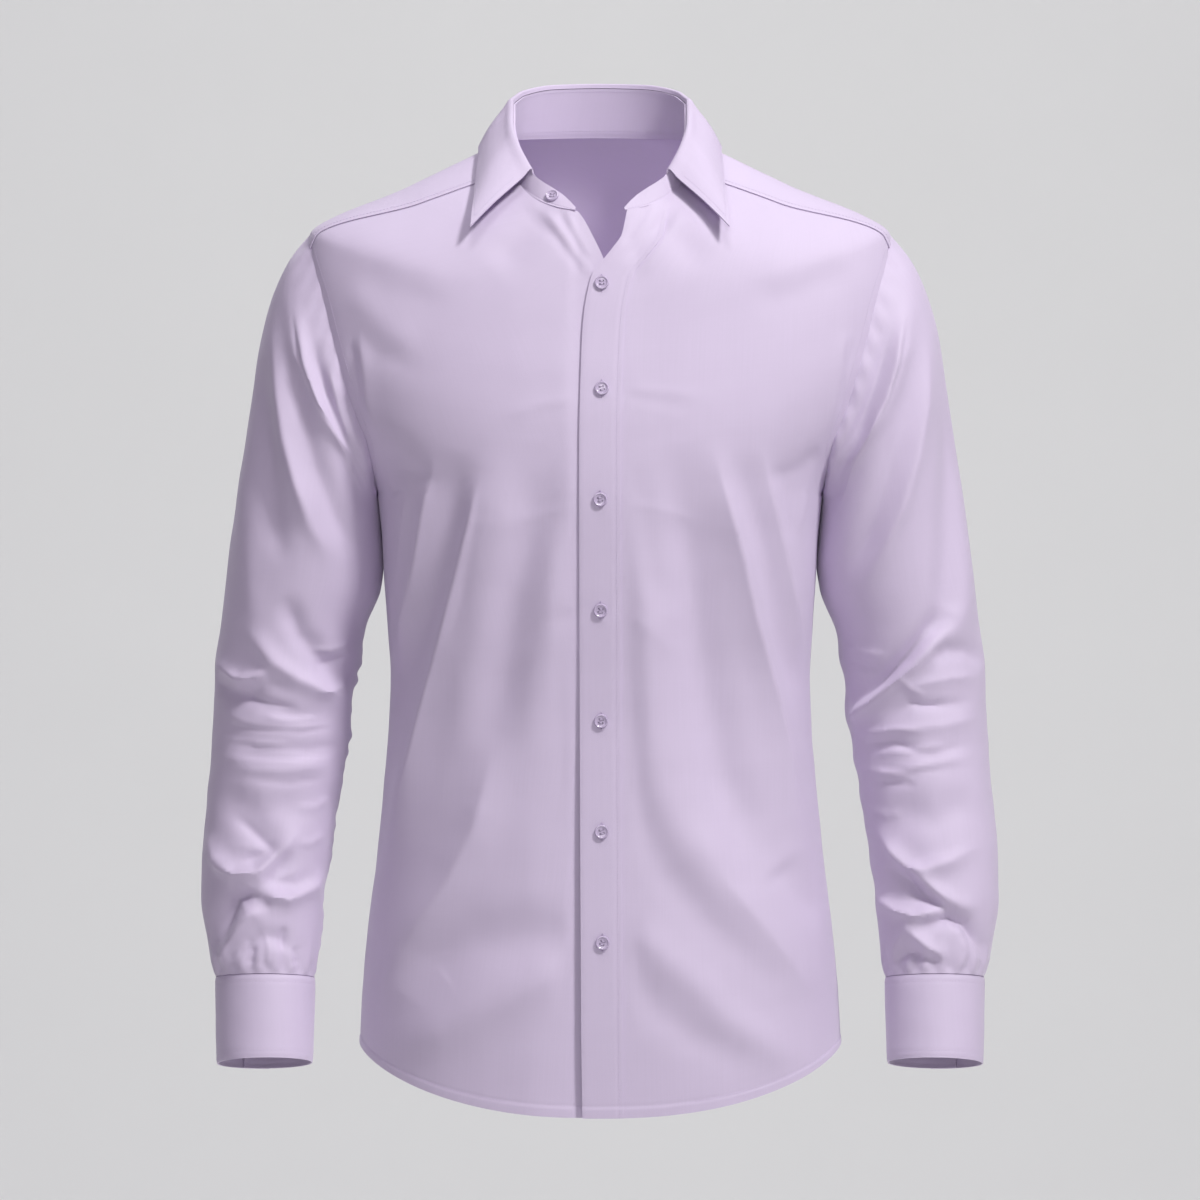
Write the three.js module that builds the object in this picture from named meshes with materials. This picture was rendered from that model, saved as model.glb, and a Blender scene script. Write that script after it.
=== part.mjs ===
// A long sleeve dress shirt, filled out as if worn, with its collar open at the neck.
// Millimetres. X runs to the wearer's left, the front faces -Y, Z is up.
// The origin is the middle of the neck, level with the shoulder line where it meets the collar.
import * as THREE from "three";

// Driving dimensions
const CLOTH = 1.0;
const COLLAR_CLOTH = 1.5;
const SEAM_GAP = 0.3;
const OVERLAP_GAP = 0.7;
const CURVED_SEAM_GAP = 1.5;
const SLEEVE_PLACKET_GAP = 0.7;
const PLACKET_WIDTH = 32;
const CHEST_HALF_WIDTH = 175;
const WAIST_HALF_WIDTH = 164.5;
const HEM_HALF_WIDTH = 189;
const SHOULDER_HALF_WIDTH = 228;
const NECK_HALF_WIDTH = 70;
const CUFF_OVERLAP_DEGREES = 32;
const BUTTON_RADIUS = 5.4;
const FIRST_BUTTON_Z = -120;
const SECOND_BUTTON_Z = -202;
const BUTTON_SPACING = 85.2;
const FRONT_BUTTONS = 7;

// How finely each piece is divided
const FRONT_CELLS = 13;
const BAND_CELLS = 2;
const BACK_CELLS = 20;
const YOKE_FRONT_CELLS = 6;
const YOKE_ROWS = 6;
const SLEEVE_CELLS = 22;
const COLLAR_CELLS = 36;
const CUFF_CELLS = 24;
const BUTTON_SIDES = 12;

const COLOURS = { cloth: 0xcdbfdb, band: 0xcbbdd9, button: 0xd6cce2 };

const radians = THREE.MathUtils.degToRad;
const { lerp, clamp, smoothstep } = THREE.MathUtils;

// Turns short lines of numbers into rows with named columns.
function table(columns, ...lines) {
  return lines.map((line) => Object.fromEntries(columns.map((name, i) => [name, line[i]])));
}

// A smooth curve through one column of a table that never swings past its rows.
function curve(rows, keyName, valueName) {
  const keys = rows.map((row) => row[keyName]);
  const values = rows.map((row) => row[valueName]);
  const last = rows.length - 1;
  const slopes = keys.slice(1).map((key, i) => (values[i + 1] - values[i]) / (key - keys[i]));
  const tangents = values.map((_, i) => {
    if (i === 0) return slopes[0];
    if (i === last) return slopes[last - 1];
    const [a, b] = [slopes[i - 1], slopes[i]];
    return a * b <= 0 ? 0 : (2 * a * b) / (a + b);
  });
  return (key) => {
    let i = 0;
    while (i < last - 1 && key > keys[i + 1]) i += 1;
    const span = keys[i + 1] - keys[i];
    const t = clamp((key - keys[i]) / span, 0, 1);
    const [t2, t3] = [t * t, t * t * t];
    return (
      values[i] * (2 * t3 - 3 * t2 + 1) +
      values[i + 1] * (3 * t2 - 2 * t3) +
      tangents[i] * span * (t3 - 2 * t2 + t) +
      tangents[i + 1] * span * (t3 - t2)
    );
  };
}

// One curve for each column of a table, read together as an object.
function curves(rows, keyName) {
  const names = Object.keys(rows[0]).filter((name) => name !== keyName);
  const parts = names.map((name) => curve(rows, keyName, name));
  return (key) => Object.fromEntries(names.map((name, i) => [name, parts[i](key)]));
}

// Finds where a function that rises from a negative value crosses zero.
function crossing(low, high, rises) {
  for (let i = 0; i < 40; i += 1) {
    const middle = (low + high) / 2;
    if (rises(middle) > 0) high = middle;
    else low = middle;
  }
  return (low + high) / 2;
}

// The body is a stack of closed loops, from the neck out over the shoulders and down to the hem.
// fall is how the loop's height runs from its side to its front or back, square how boxy it is.
const BODY_LOOPS = table(
  ["level", "halfWidth", "zSide", "zFront", "zBack", "yFront", "yBack", "fallFront", "fallBack", "square"],
  [0, NECK_HALF_WIDTH, 0, -63, 5, -75, 56, 0.64, 1.5, 2.2],
  [1, 150, -39, -90, -36, -87, 84, 1.2, 1.5, 2.2],
  [2, SHOULDER_HALF_WIDTH, -77, -126, -92, -98, 101, 1.7, 1.8, 2.3],
  [3, 236, -120, -160, -135, -106, 110, 1.8, 1.8, 2.3],
  [4, 231, -165, -195, -178, -114, 115, 1.8, 1.8, 2.3],
  [5, 211, -215, -232, -224, -120, 118, 1.8, 1.8, 2.35],
  [6, CHEST_HALF_WIDTH, -282, -282, -282, -123, 117, 1.6, 1.6, 2.4],
  [7, 171, -335, -335, -335, -120, 111, 1.5, 1.5, 2.4],
  [8, 167, -385, -385, -385, -116, 103, 1.5, 1.5, 2.35],
  [9, WAIST_HALF_WIDTH, -427, -427, -427, -112, 98, 1.5, 1.5, 2.3],
  [10, 166, -465, -465, -465, -110, 97, 1.5, 1.5, 2.3],
  [11, 170.5, -515, -515, -515, -111, 101, 1.5, 1.5, 2.3],
  [12, 176, -570, -571, -571, -113, 107, 1.5, 1.5, 2.3],
  [13, 183, -624, -632, -634, -116, 111, 1.5, 1.5, 2.3],
  [14, 187, -669, -698, -704, -117, 113, 1.5, 1.5, 2.3],
  [15, HEM_HALF_WIDTH, -711, -763, -776, -117, 113, 1.5, 1.5, 2.3],
);
const UNDERARM = 6;
const HEM = 15;
const BACK_SEAM = 2.45;
const bodyLoop = curves(BODY_LOOPS, "level");

// The armhole seam, seen from the front.
const ARMHOLE = table(
  ["z", "x"],
  [-285, 175],
  [-268, 176.5],
  [-245, 180.5],
  [-225, 188],
  [-212, 193],
  [-166, 206.5],
  [-128, 216],
  [-91, 226],
  [-78, 228],
  [-60, 231],
);
const armholeX = curve(ARMHOLE, "z", "x");

// The front edges of the two fronts: the left one lies over the right one below the open neck.
const LEFT_EDGE = table(
  ["z", "x"],
  [-790, -13],
  [-690, -14.5],
  [-250, -16],
  [-165, -14],
  [-143, -12.4],
  [-124, -9.2],
  [-111, -5.4],
  [-103, 1],
  [-92, 9.8],
  [-82, 16.5],
  [-71, 19.2],
  [-59, 21.5],
);
const RIGHT_EDGE = table(
  ["z", "x"],
  [-790, PLACKET_WIDTH - 13],
  [-690, PLACKET_WIDTH - 14.5],
  [-250, PLACKET_WIDTH - 16],
  [-165, 15],
  [-135, 12],
  [-115, 8],
  [-99, 2.4],
  [-82, -5.5],
  [-68, -13],
  [-58, -20.5],
);
const leftEdgeX = curve(LEFT_EDGE, "z", "x");
const rightEdgeX = curve(RIGHT_EDGE, "z", "x");

// How far in front of the shoulder line the yoke's front seam lies, in degrees round the body.
const YOKE_SEAM = table(["level", "degrees"], [0, 18], [1, 22], [2, 13], [3, 10]);
const yokeSeamDegrees = curve(YOKE_SEAM, "level", "degrees");

// A point of the plain body: 0 degrees is the front, 90 the wearer's left side, 180 the back.
function bodyPoint(degrees, level) {
  const loop = bodyLoop(level);
  const sine = Math.sin(radians(degrees));
  const cosine = Math.cos(radians(degrees));
  const atFront = cosine > 0;
  const across = Math.sign(sine) * Math.abs(sine) ** (2 / loop.square);
  const deep = Math.abs(cosine) ** (2 / loop.square);
  const fall = Math.abs(cosine) ** (atFront ? loop.fallFront : loop.fallBack);
  return new THREE.Vector3(
    loop.halfWidth * across,
    (atFront ? loop.yFront : loop.yBack) * deep,
    lerp(loop.zSide, atFront ? loop.zFront : loop.zBack, fall),
  );
}

// The direction straight out of the plain body.
function bodyNormal(degrees, level) {
  const [turn, step] = [0.4, 0.02];
  const up = Math.max(level - step, 0);
  const down = Math.min(level + step, HEM);
  const along = bodyPoint(degrees + turn, level).sub(bodyPoint(degrees - turn, level));
  const downward = bodyPoint(degrees, down).sub(bodyPoint(degrees, up));
  return downward.cross(along).normalize();
}

// Degrees round the body where the armhole crosses a level, at the front or at the back.
function armholeDegrees(level, atFront) {
  const past = (degrees) => {
    const point = bodyPoint(degrees, level);
    return point.x - armholeX(point.z);
  };
  return atFront ? crossing(0, 90, past) : 180 - crossing(0, 90, (angle) => past(180 - angle));
}

// Degrees round the body where a front's edge, given from the front, crosses a level.
function edgeDegrees(level, edge, shift) {
  return crossing(-60, 60, (degrees) => {
    const point = bodyPoint(degrees, level);
    return point.x - edge(point.z) - shift;
  });
}

// Where the front's armhole meets the yoke seam.
const FRONT_CORNER = crossing(1.5, 4, (level) => {
  const point = bodyPoint(90 - yokeSeamDegrees(level), level);
  return point.x - armholeX(point.z);
});
// Where the back yoke seam meets the armhole.
const BACK_CORNER = armholeDegrees(BACK_SEAM, false);

// Folds pressed or pulled into the cloth. Each runs through its points, seen from the front at the
// scale of the side seams; depth is outward for a ridge and inward for a trough.
const FOLD_COLUMNS = ["halfWidth", "depth", "points"];
const FRONT_FOLDS = table(
  FOLD_COLUMNS,
  // The wearer's right front
  [15, 5, [[-96, -290], [-108, -330], [-119, -378], [-131, -432], [-147, -496], [-168, -560]]],
  [20, -5, [[-97, -258], [-108, -294], [-118, -325], [-130, -363], [-145, -392]]],
  [12, 3, [[-131, -262], [-140, -300], [-146, -335], [-155, -375], [-162, -410]]],
  [24, -5, [[-46, -265], [-55, -312], [-70, -356], [-76, -400], [-90, -452]]],
  [22, 5, [[-86, -264], [-82, -300], [-86, -345], [-98, -396], [-108, -425]]],
  [26, 5, [[-81, -500], [-100, -552], [-128, -600], [-152, -645], [-172, -682]]],
  [22, -5, [[-110, -534], [-140, -560], [-165, -592]]],
  [28, -5, [[-26, -628], [-90, -634], [-128, -646], [-148, -670]]],
  [24, 3.5, [[-22, -640], [-55, -664], [-90, -684], [-130, -708]]],
  // The wearer's left front
  [14, 5, [[93, -260], [103, -300], [115, -346], [125, -390], [137, -432], [146, -480], [160, -540]]],
  [18, -5, [[75, -262], [84, -310], [95, -362], [110, -425], [120, -490]]],
  [12, 3.5, [[130, -256], [140, -300], [150, -350], [158, -395], [164, -420]]],
  [12, -3.5, [[112, -262], [128, -312], [140, -365], [148, -408]]],
  [22, 4, [[42, -288], [58, -332], [68, -392]]],
  [20, -4, [[18, -405], [28, -448], [42, -490], [56, -524]]],
  [26, -7, [[22, -535], [42, -562], [66, -594], [92, -626], [120, -650], [156, -678]]],
  [22, 4.5, [[80, -560], [105, -590], [130, -622], [156, -655], [172, -684]]],
  [24, 5, [[16, -628], [48, -644], [78, -668], [102, -696], [135, -718]]],
  [18, -4, [[24, -664], [52, -692], [78, -710], [126, -725]]],
);
const BACK_FOLDS = table(
  FOLD_COLUMNS,
  [24, 5, [[60, -120], [64, -180], [74, -240], [92, -300]]],
  [24, 5, [[-62, -120], [-68, -178], [-76, -236], [-88, -296]]],
  [26, -5, [[-4, -330], [2, -400], [-6, -470]]],
  [18, 5, [[-60, -330], [-72, -380], [-90, -430], [-118, -480]]],
  [18, 5, [[56, -322], [74, -376], [94, -428], [112, -486]]],
  [22, -5, [[-118, -300], [-124, -350], [-140, -400]]],
  [22, -5, [[116, -304], [128, -352], [144, -396]]],
  [28, 5, [[-40, -470], [-78, -540], [-128, -600], [-160, -650]]],
  [28, 5, [[46, -480], [84, -536], [126, -590], [158, -640]]],
  [28, -6, [[0, -560], [-38, -630], [-100, -680]]],
  [26, -6, [[20, -600], [66, -640], [124, -684]]],
);
const SLEEVE_FOLDS_FRONT = table(
  FOLD_COLUMNS,
  // Seen on the wearer's right sleeve; the other sleeve is like it, turned over.
  [9, 4, [[-244, -134], [-238, -172], [-229, -199], [-217, -222], [-206, -236]]],
  [10, 4.5, [[-236, -142], [-230, -182], [-222, -206], [-210, -226], [-196, -248], [-184, -272]]],
  [12, -5, [[-228, -153], [-216, -192], [-205, -232], [-190, -260]]],
  [12, 4, [[-256, -166], [-252, -205], [-246, -238], [-236, -275], [-226, -308], [-214, -324]]],
  [14, -4, [[-268, -190], [-264, -240], [-258, -292]]],
  [12, 5, [[-268, -398], [-252, -416], [-236, -428], [-216, -436], [-202, -440]]],
  [14, -5, [[-286, -424], [-268, -444], [-246, -452], [-222, -456]]],
  [11, 4.5, [[-302, -414], [-284, -428], [-268, -424]]],
  [13, -4, [[-292, -470], [-262, -482], [-226, -478]]],
  [13, -4, [[-284, -536], [-256, -560], [-284, -574]]],
  [12, 4.5, [[-306, -566], [-292, -580], [-272, -584], [-254, -566]]],
  [11, -5.5, [[-260, -602], [-280, -596], [-292, -610], [-300, -638]]],
  [10, 4, [[-280, -588], [-262, -600], [-244, -600], [-226, -590]]],
);
const SLEEVE_FOLDS_BACK = table(
  FOLD_COLUMNS,
  [16, -4, [[-230, -130], [-218, -190], [-204, -240]]],
  [14, 4, [[-262, -150], [-250, -210], [-236, -270], [-222, -320]]],
  [14, -4, [[-284, -230], [-272, -300], [-254, -350]]],
  [13, 4.5, [[-300, -400], [-270, -414], [-230, -410], [-200, -404]]],
  [13, -4.5, [[-298, -430], [-262, -440], [-216, -432]]],
  [13, 4, [[-302, -462], [-266, -470], [-214, -458]]],
  [14, -4, [[-306, -520], [-270, -548], [-226, -536]]],
  [13, 4, [[-308, -578], [-276, -598], [-232, -584]]],
);

const EYE_DISTANCE = 5000;
const EYE_Z = -370;

// Where a point is seen from the front, at the scale of the side seams.
function seenFromFront(point) {
  const nearness = 1 + point.y / EYE_DISTANCE;
  return { x: point.x / nearness, z: EYE_Z + (point.z - EYE_Z) / nearness };
}

// How far one fold moves the cloth at a place: full depth on its line, fading to its sides and ends.
function foldDepth(fold, x, z) {
  let best = 0;
  const steps = fold.points.length - 1;
  for (let i = 0; i < steps; i += 1) {
    const [ax, az] = fold.points[i];
    const [bx, bz] = fold.points[i + 1];
    const [dx, dz] = [bx - ax, bz - az];
    const t = clamp(((x - ax) * dx + (z - az) * dz) / (dx * dx + dz * dz), 0, 1);
    const away = Math.hypot(x - ax - t * dx, z - az - t * dz) / fold.halfWidth;
    const along = (i + t) / steps;
    const taper = 0.35 + 0.65 * Math.sin(Math.PI * clamp(0.08 + 0.84 * along, 0, 1));
    best = Math.max(best, taper * Math.exp(-1.4 * away * away));
  }
  return best * fold.depth;
}

// The sum of a table's folds at a place.
function foldSum(folds, x, z) {
  return folds.reduce((sum, fold) => sum + foldDepth(fold, x, z), 0);
}

// How deep the cloth of the body is folded at a place; nothing near its seams.
function bodyFold(degrees, level) {
  const point = bodyPoint(degrees, level);
  const normal = bodyNormal(degrees, level);
  const facing = smoothstep(Math.abs(normal.y), 0.25, 0.6);
  if (normal.y < 0) {
    const seen = seenFromFront(point);
    const fromBand = smoothstep(Math.abs(point.x), 18, 40);
    const fromArmhole = smoothstep(armholeX(point.z) - Math.abs(point.x), 0, 26);
    const inSeam = Math.max(fromArmhole, smoothstep(level, UNDERARM, UNDERARM + 0.7));
    return foldSum(FRONT_FOLDS, seen.x, seen.z) * facing * fromBand * inSeam;
  }
  const fromYoke = smoothstep(level, BACK_SEAM, BACK_SEAM + 0.8);
  return foldSum(BACK_FOLDS, point.x, point.z) * facing * fromYoke;
}

// A point of the folded cloth of the body, moved out by a given amount.
function clothPoint(degrees, level, out = 0) {
  const normal = bodyNormal(degrees, level);
  return bodyPoint(degrees, level).addScaledVector(normal, bodyFold(degrees, level) + out);
}

// The degrees that half a seam's gap takes at a place.
function gapDegrees(degrees, level) {
  const reach = bodyPoint(degrees + 0.5, level).distanceTo(bodyPoint(degrees - 0.5, level));
  return SEAM_GAP / 2 / reach;
}

// The levels that half a seam's gap takes at a place.
function gapLevels(degrees, level) {
  const low = Math.max(level - 0.05, 0);
  const reach = bodyPoint(degrees, level + 0.05).distanceTo(bodyPoint(degrees, low));
  return (SEAM_GAP / 2) * ((level + 0.05 - low) / reach);
}

// The outward direction at each point of a grid, from its neighbours.
function gridNormals(grid, closedRound) {
  const rows = grid.length;
  const columns = grid[0].length;
  return grid.map((row, i) =>
    row.map((_, j) => {
      const before = closedRound ? (j + columns - 1) % columns : Math.max(j - 1, 0);
      const after = closedRound ? (j + 1) % columns : Math.min(j + 1, columns - 1);
      const across = grid[i][after].clone().sub(grid[i][before]);
      const down = grid[Math.min(i + 1, rows - 1)][j].clone().sub(grid[Math.max(i - 1, 0)][j]);
      return down.cross(across).normalize();
    }),
  );
}

// A wall of even thickness under a grid of outer points: rows run down, columns run to the left side.
function wall(grid, thickness, closedRound = false) {
  const rows = grid.length;
  const columns = grid[0].length;
  const normals = gridNormals(grid, closedRound);
  const outer = grid.flat();
  const inner = grid.flatMap((row, i) =>
    row.map((point, j) => point.clone().addScaledVector(normals[i][j], -thickness)),
  );
  const points = [...outer, ...inner];
  const at = (i, j) => i * columns + (j % columns);
  const under = (index) => index + rows * columns;
  const faces = [];
  const quad = (a, b, c, d) => faces.push(a, b, c, a, c, d);
  const lastColumn = closedRound ? columns : columns - 1;
  for (let i = 0; i < rows - 1; i += 1) {
    for (let j = 0; j < lastColumn; j += 1) {
      const corners = [at(i, j), at(i + 1, j), at(i + 1, j + 1), at(i, j + 1)];
      quad(...corners);
      const [a, b, c, d] = corners.map(under);
      faces.push(a, c, b, a, d, c);
    }
  }
  for (let j = 0; j < lastColumn; j += 1) {
    quad(at(0, j), at(0, j + 1), under(at(0, j + 1)), under(at(0, j)));
    const end = rows - 1;
    quad(at(end, j + 1), at(end, j), under(at(end, j)), under(at(end, j + 1)));
  }
  if (!closedRound) {
    for (let i = 0; i < rows - 1; i += 1) {
      const side = columns - 1;
      quad(at(i + 1, 0), at(i, 0), under(at(i, 0)), under(at(i + 1, 0)));
      quad(at(i, side), at(i + 1, side), under(at(i + 1, side)), under(at(i, side)));
    }
  }
  const geometry = new THREE.BufferGeometry();
  geometry.setAttribute(
    "position",
    new THREE.Float32BufferAttribute(
      points.flatMap((point) => point.toArray()),
      3,
    ),
  );
  geometry.setIndex(faces);
  geometry.computeVertexNormals();
  return geometry;
}

const shirt = new THREE.Group();

function addPiece(name, geometry, colour, roughness = 0.85) {
  const material = new THREE.MeshStandardMaterial({ color: colour, roughness, metalness: 0 });
  const mesh = new THREE.Mesh(geometry, material);
  mesh.name = name;
  shirt.add(mesh);
  return mesh;
}

// Even steps from one value to another, both ends included.
function steps(from, to, count) {
  return Array.from({ length: count + 1 }, (_, i) => lerp(from, to, i / count));
}

// The levels of the fronts' rows, from the neck down; closer together at the armhole's turn.
const FRONT_LEVELS = [
  ...steps(0, FRONT_CORNER, YOKE_ROWS),
  ...steps(FRONT_CORNER, 5, 5).slice(1),
  5.45,
  5.75,
  5.93,
  ...steps(UNDERARM, HEM, 17),
];
const BACK_LEVELS = [...steps(BACK_SEAM, 5, 5), 5.45, 5.75, 5.93, ...steps(UNDERARM, HEM, 17)];

// Where a front's outer side lies: the yoke seam, then the armhole, then the side seam.
function frontOuterDegrees(level) {
  if (level >= UNDERARM) return 90;
  const seam = 90 - yokeSeamDegrees(level);
  return level <= FRONT_CORNER ? seam : Math.min(armholeDegrees(level, true), seam);
}

// The columns of the lapped strip down the middle: the placket's width on the left front.
function lappedColumns(level) {
  const left = edgeDegrees(level, leftEdgeX, 0);
  const right = edgeDegrees(level, rightEdgeX, 0);
  return { left, leftInner: edgeDegrees(level, leftEdgeX, PLACKET_WIDTH), right };
}

// Columns from an inner angle to an outer one, as evenly as if the outer one were at the side seam:
// the armhole's curve moves only the columns near it.
const ARMHOLE_PULL = 2.5;
function spread(inner, outer, side, cells) {
  return steps(0, 1, cells).map((share) => lerp(inner, side, share) - (side - outer) * share ** ARMHOLE_PULL);
}

function leftFrontRow(level) {
  const { left, leftInner } = lappedColumns(level);
  const outer = frontOuterDegrees(level);
  const end = outer - gapDegrees(outer, level);
  const band = steps(left, leftInner, BAND_CELLS);
  return [...band, ...spread(leftInner, end, 90, FRONT_CELLS - BAND_CELLS).slice(1)];
}

function rightFrontRow(level) {
  const { left, right } = lappedColumns(level);
  const start = Math.min(left, right - 12);
  const outer = -frontOuterDegrees(level);
  const begin = outer + gapDegrees(outer, level);
  const band = steps(start, right, BAND_CELLS);
  return [...spread(start, begin, -90, FRONT_CELLS - BAND_CELLS).reverse(), ...band.slice(1)];
}

// The right front passes under the left one near the middle.
function underlap(x) {
  return -(CLOTH + OVERLAP_GAP) * smoothstep(x, -50, -20);
}

// The neck edge and the hem stay half a gap clear of what is sewn to them.
function nearestLevel(level, degrees) {
  return level === 0 ? gapLevels(degrees, 0) : level;
}

function buildFronts() {
  const leftGrid = FRONT_LEVELS.map((level) =>
    leftFrontRow(level).map((degrees) => clothPoint(degrees, nearestLevel(level, degrees))),
  );
  const rightGrid = FRONT_LEVELS.map((level) =>
    rightFrontRow(level).map((degrees) => {
      const { x } = bodyPoint(degrees, level);
      return clothPoint(degrees, nearestLevel(level, degrees), underlap(x));
    }),
  );
  addPiece("front_left", wall(leftGrid, CLOTH), COLOURS.cloth);
  addPiece("front_right", wall(rightGrid, CLOTH), COLOURS.cloth);
  const leftNormals = gridNormals(leftGrid, false);
  const placket = leftGrid.map((row, i) =>
    row
      .slice(0, BAND_CELLS + 1)
      .map((point, j) => point.clone().addScaledVector(leftNormals[i][j], SEAM_GAP + CLOTH)),
  );
  addPiece("placket", wall(placket, CLOTH), COLOURS.band);
}

function buildBack() {
  const grid = BACK_LEVELS.map((level) => {
    const start = level >= UNDERARM ? 90 : armholeDegrees(level, false);
    const left = spread(180, start + gapDegrees(start, level), 90, BACK_CELLS / 2).reverse();
    const right = left.slice(0, -1).map((degrees) => 360 - degrees);
    return [...left, ...right.reverse()].map((degrees) => {
      const top = level === BACK_SEAM ? level + gapLevels(degrees, level) : level;
      return clothPoint(degrees, top);
    });
  });
  addPiece("back", wall(grid, CLOTH), COLOURS.cloth);
}

// How far down from the neck the yoke reaches at an angle: to the armhole or to its back seam.
function yokeReach(degrees) {
  const angle = degrees > 180 ? 360 - degrees : degrees;
  if (angle >= BACK_CORNER) return BACK_SEAM - gapLevels(angle, BACK_SEAM);
  return crossing(1.5, 3, (level) => {
    const point = bodyPoint(angle, level);
    return point.x - armholeX(point.z) + SEAM_GAP / 2;
  });
}

// The angles of a row of the yoke, from its left front seam round the back to its right one.
function yokeRow(share) {
  const level = share * FRONT_CORNER;
  const seam = 90 - yokeSeamDegrees(level);
  const left = [
    ...steps(seam + gapDegrees(seam, level), BACK_CORNER, YOKE_FRONT_CELLS),
    ...spread(180, BACK_CORNER, 90, BACK_CELLS / 2).reverse().slice(1),
  ];
  return [...left, ...left.slice(0, -1).map((degrees) => 360 - degrees).reverse()];
}

function buildYoke() {
  const reach = yokeRow(1).map(yokeReach);
  const grid = steps(0, 1, YOKE_ROWS).map((share) =>
    yokeRow(share).map((degrees, j) => clothPoint(degrees, nearestLevel(share * reach[j], degrees))),
  );
  addPiece("yoke", wall(grid, CLOTH), COLOURS.cloth);
}

// The sleeve: its outer and inner sides seen from the front, its middle's depth, half its depth
// from front to back, and how far its rings tip up in front.
const SLEEVE_STATIONS = table(
  ["station", "outX", "outZ", "inX", "inZ", "yMiddle", "halfDepth", "tip"],
  [0, 228, -77, 175, -282, 0, 58, 0],
  [1, 246, -100, 176.2, -286, 0, 61, 0],
  [2, 258, -127, 176.8, -290, 1, 63.5, 0],
  [3, 266.5, -157, 177.2, -295, 2, 65.5, 0],
  [4, 272.5, -196, 176, -303, 3, 66.5, 0],
  [5, 279.5, -242, 174.8, -316, 4, 66.5, 0],
  [6, 287, -290, 174.2, -334, 6, 65.5, 0],
  [7, 293.5, -338, 178.4, -356, 8, 64, 0],
  [8, 299, -384, 187, -388, 9.5, 61, 0],
  [9, 303.5, -418, 191, -420, 10, 58.5, 0],
  [10, 304.5, -446, 194, -447, 9.5, 57.5, 1],
  [11, 306, -480, 198, -480, 7, 56, 3],
  [12, 309, -522, 204.5, -520, 0, 54, 5],
  [13, 312.5, -566, 211.5, -563, -9, 51, 6.5],
  [14, 312.5, -598, 216, -595, -17, 48.5, 7.5],
  [15, 307.5, -629, 218.5, -627, -25, 45, 8],
  [16, 301.5, -659.5, 222, -659.5, -32, 40.5, 8],
);
const SLEEVE_END = 16;
const sleeveStation = curves(SLEEVE_STATIONS, "station");

// The cuff carries on from the sleeve.
const CUFF_STATIONS = table(
  ["station", "outX", "outZ", "inX", "inZ", "yMiddle", "halfDepth", "tip"],
  [0, 299.5, -660, 223, -660, -32.2, 38.5, 8],
  [1, 298.3, -693, 223.6, -692.5, -41, 38, 9.4],
  [2, 297.3, -725.6, 224.3, -724.6, -49.8, 37.5, 10.8],
);
const cuffStation = curves(CUFF_STATIONS, "station");

// A point of a plain ring: 0 degrees is its front, 90 its outer side, 180 its back, 270 its inside.
function ringPoint(ring, degrees) {
  const [sine, cosine] = [Math.sin(radians(degrees)), Math.cos(radians(degrees))];
  const tip = radians(ring.tip);
  return new THREE.Vector3(
    (ring.outX + ring.inX) / 2 + ((ring.outX - ring.inX) / 2) * sine,
    ring.yMiddle - ring.halfDepth * Math.cos(tip) * cosine,
    (ring.outZ + ring.inZ) / 2 + ((ring.outZ - ring.inZ) / 2) * sine + ring.halfDepth * Math.sin(tip) * cosine,
  );
}

// The armhole as a closed line, from under the arm up the front, over the shoulder and down the back.
const ARMHOLE_STEPS = 60;
const armholeFront = [
  ...steps(UNDERARM, FRONT_CORNER, ARMHOLE_STEPS).map((level) =>
    bodyPoint(level === UNDERARM ? 90 : armholeDegrees(level, true), level),
  ),
  ...steps(90 - yokeSeamDegrees(FRONT_CORNER), 90, 12)
    .slice(1)
    .map((degrees) => bodyPoint(degrees, yokeReach(degrees))),
];
const armholeBack = [
  ...steps(90, BACK_CORNER, 24).map((degrees) => bodyPoint(degrees, yokeReach(degrees))),
  ...steps(BACK_SEAM, UNDERARM, ARMHOLE_STEPS)
    .slice(1)
    .map((level) => bodyPoint(level === UNDERARM ? 90 : armholeDegrees(level, false), level)),
];

// The point at a share of a line's length.
function pointAlong(line, share) {
  const lengths = line.slice(1).map((point, i) => point.distanceTo(line[i]));
  let rest = share * lengths.reduce((sum, length) => sum + length, 0);
  let i = 0;
  while (i < lengths.length - 1 && rest > lengths[i]) {
    rest -= lengths[i];
    i += 1;
  }
  return line[i].clone().lerp(line[i + 1], clamp(rest / lengths[i], 0, 1));
}

function armholePoint(degrees) {
  const share = ((((degrees - 270) % 360) + 360) % 360) / 360;
  return share <= 0.5 ? pointAlong(armholeFront, share * 2) : pointAlong(armholeBack, share * 2 - 1);
}

const SEAM_EASE_STATIONS = 4;
const CREASE_CLEAR_DEGREES = 30;

// A point of the wearer's left sleeve before its folds.
function plainSleevePoint(degrees, station) {
  const point = ringPoint(sleeveStation(station), degrees);
  const ease = 1 - smoothstep(station, 0, SEAM_EASE_STATIONS);
  const atSeam = armholePoint(degrees).sub(ringPoint(sleeveStation(0), degrees));
  point.addScaledVector(atSeam, ease);
  point.x += CURVED_SEAM_GAP * ease;
  return point;
}

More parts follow.
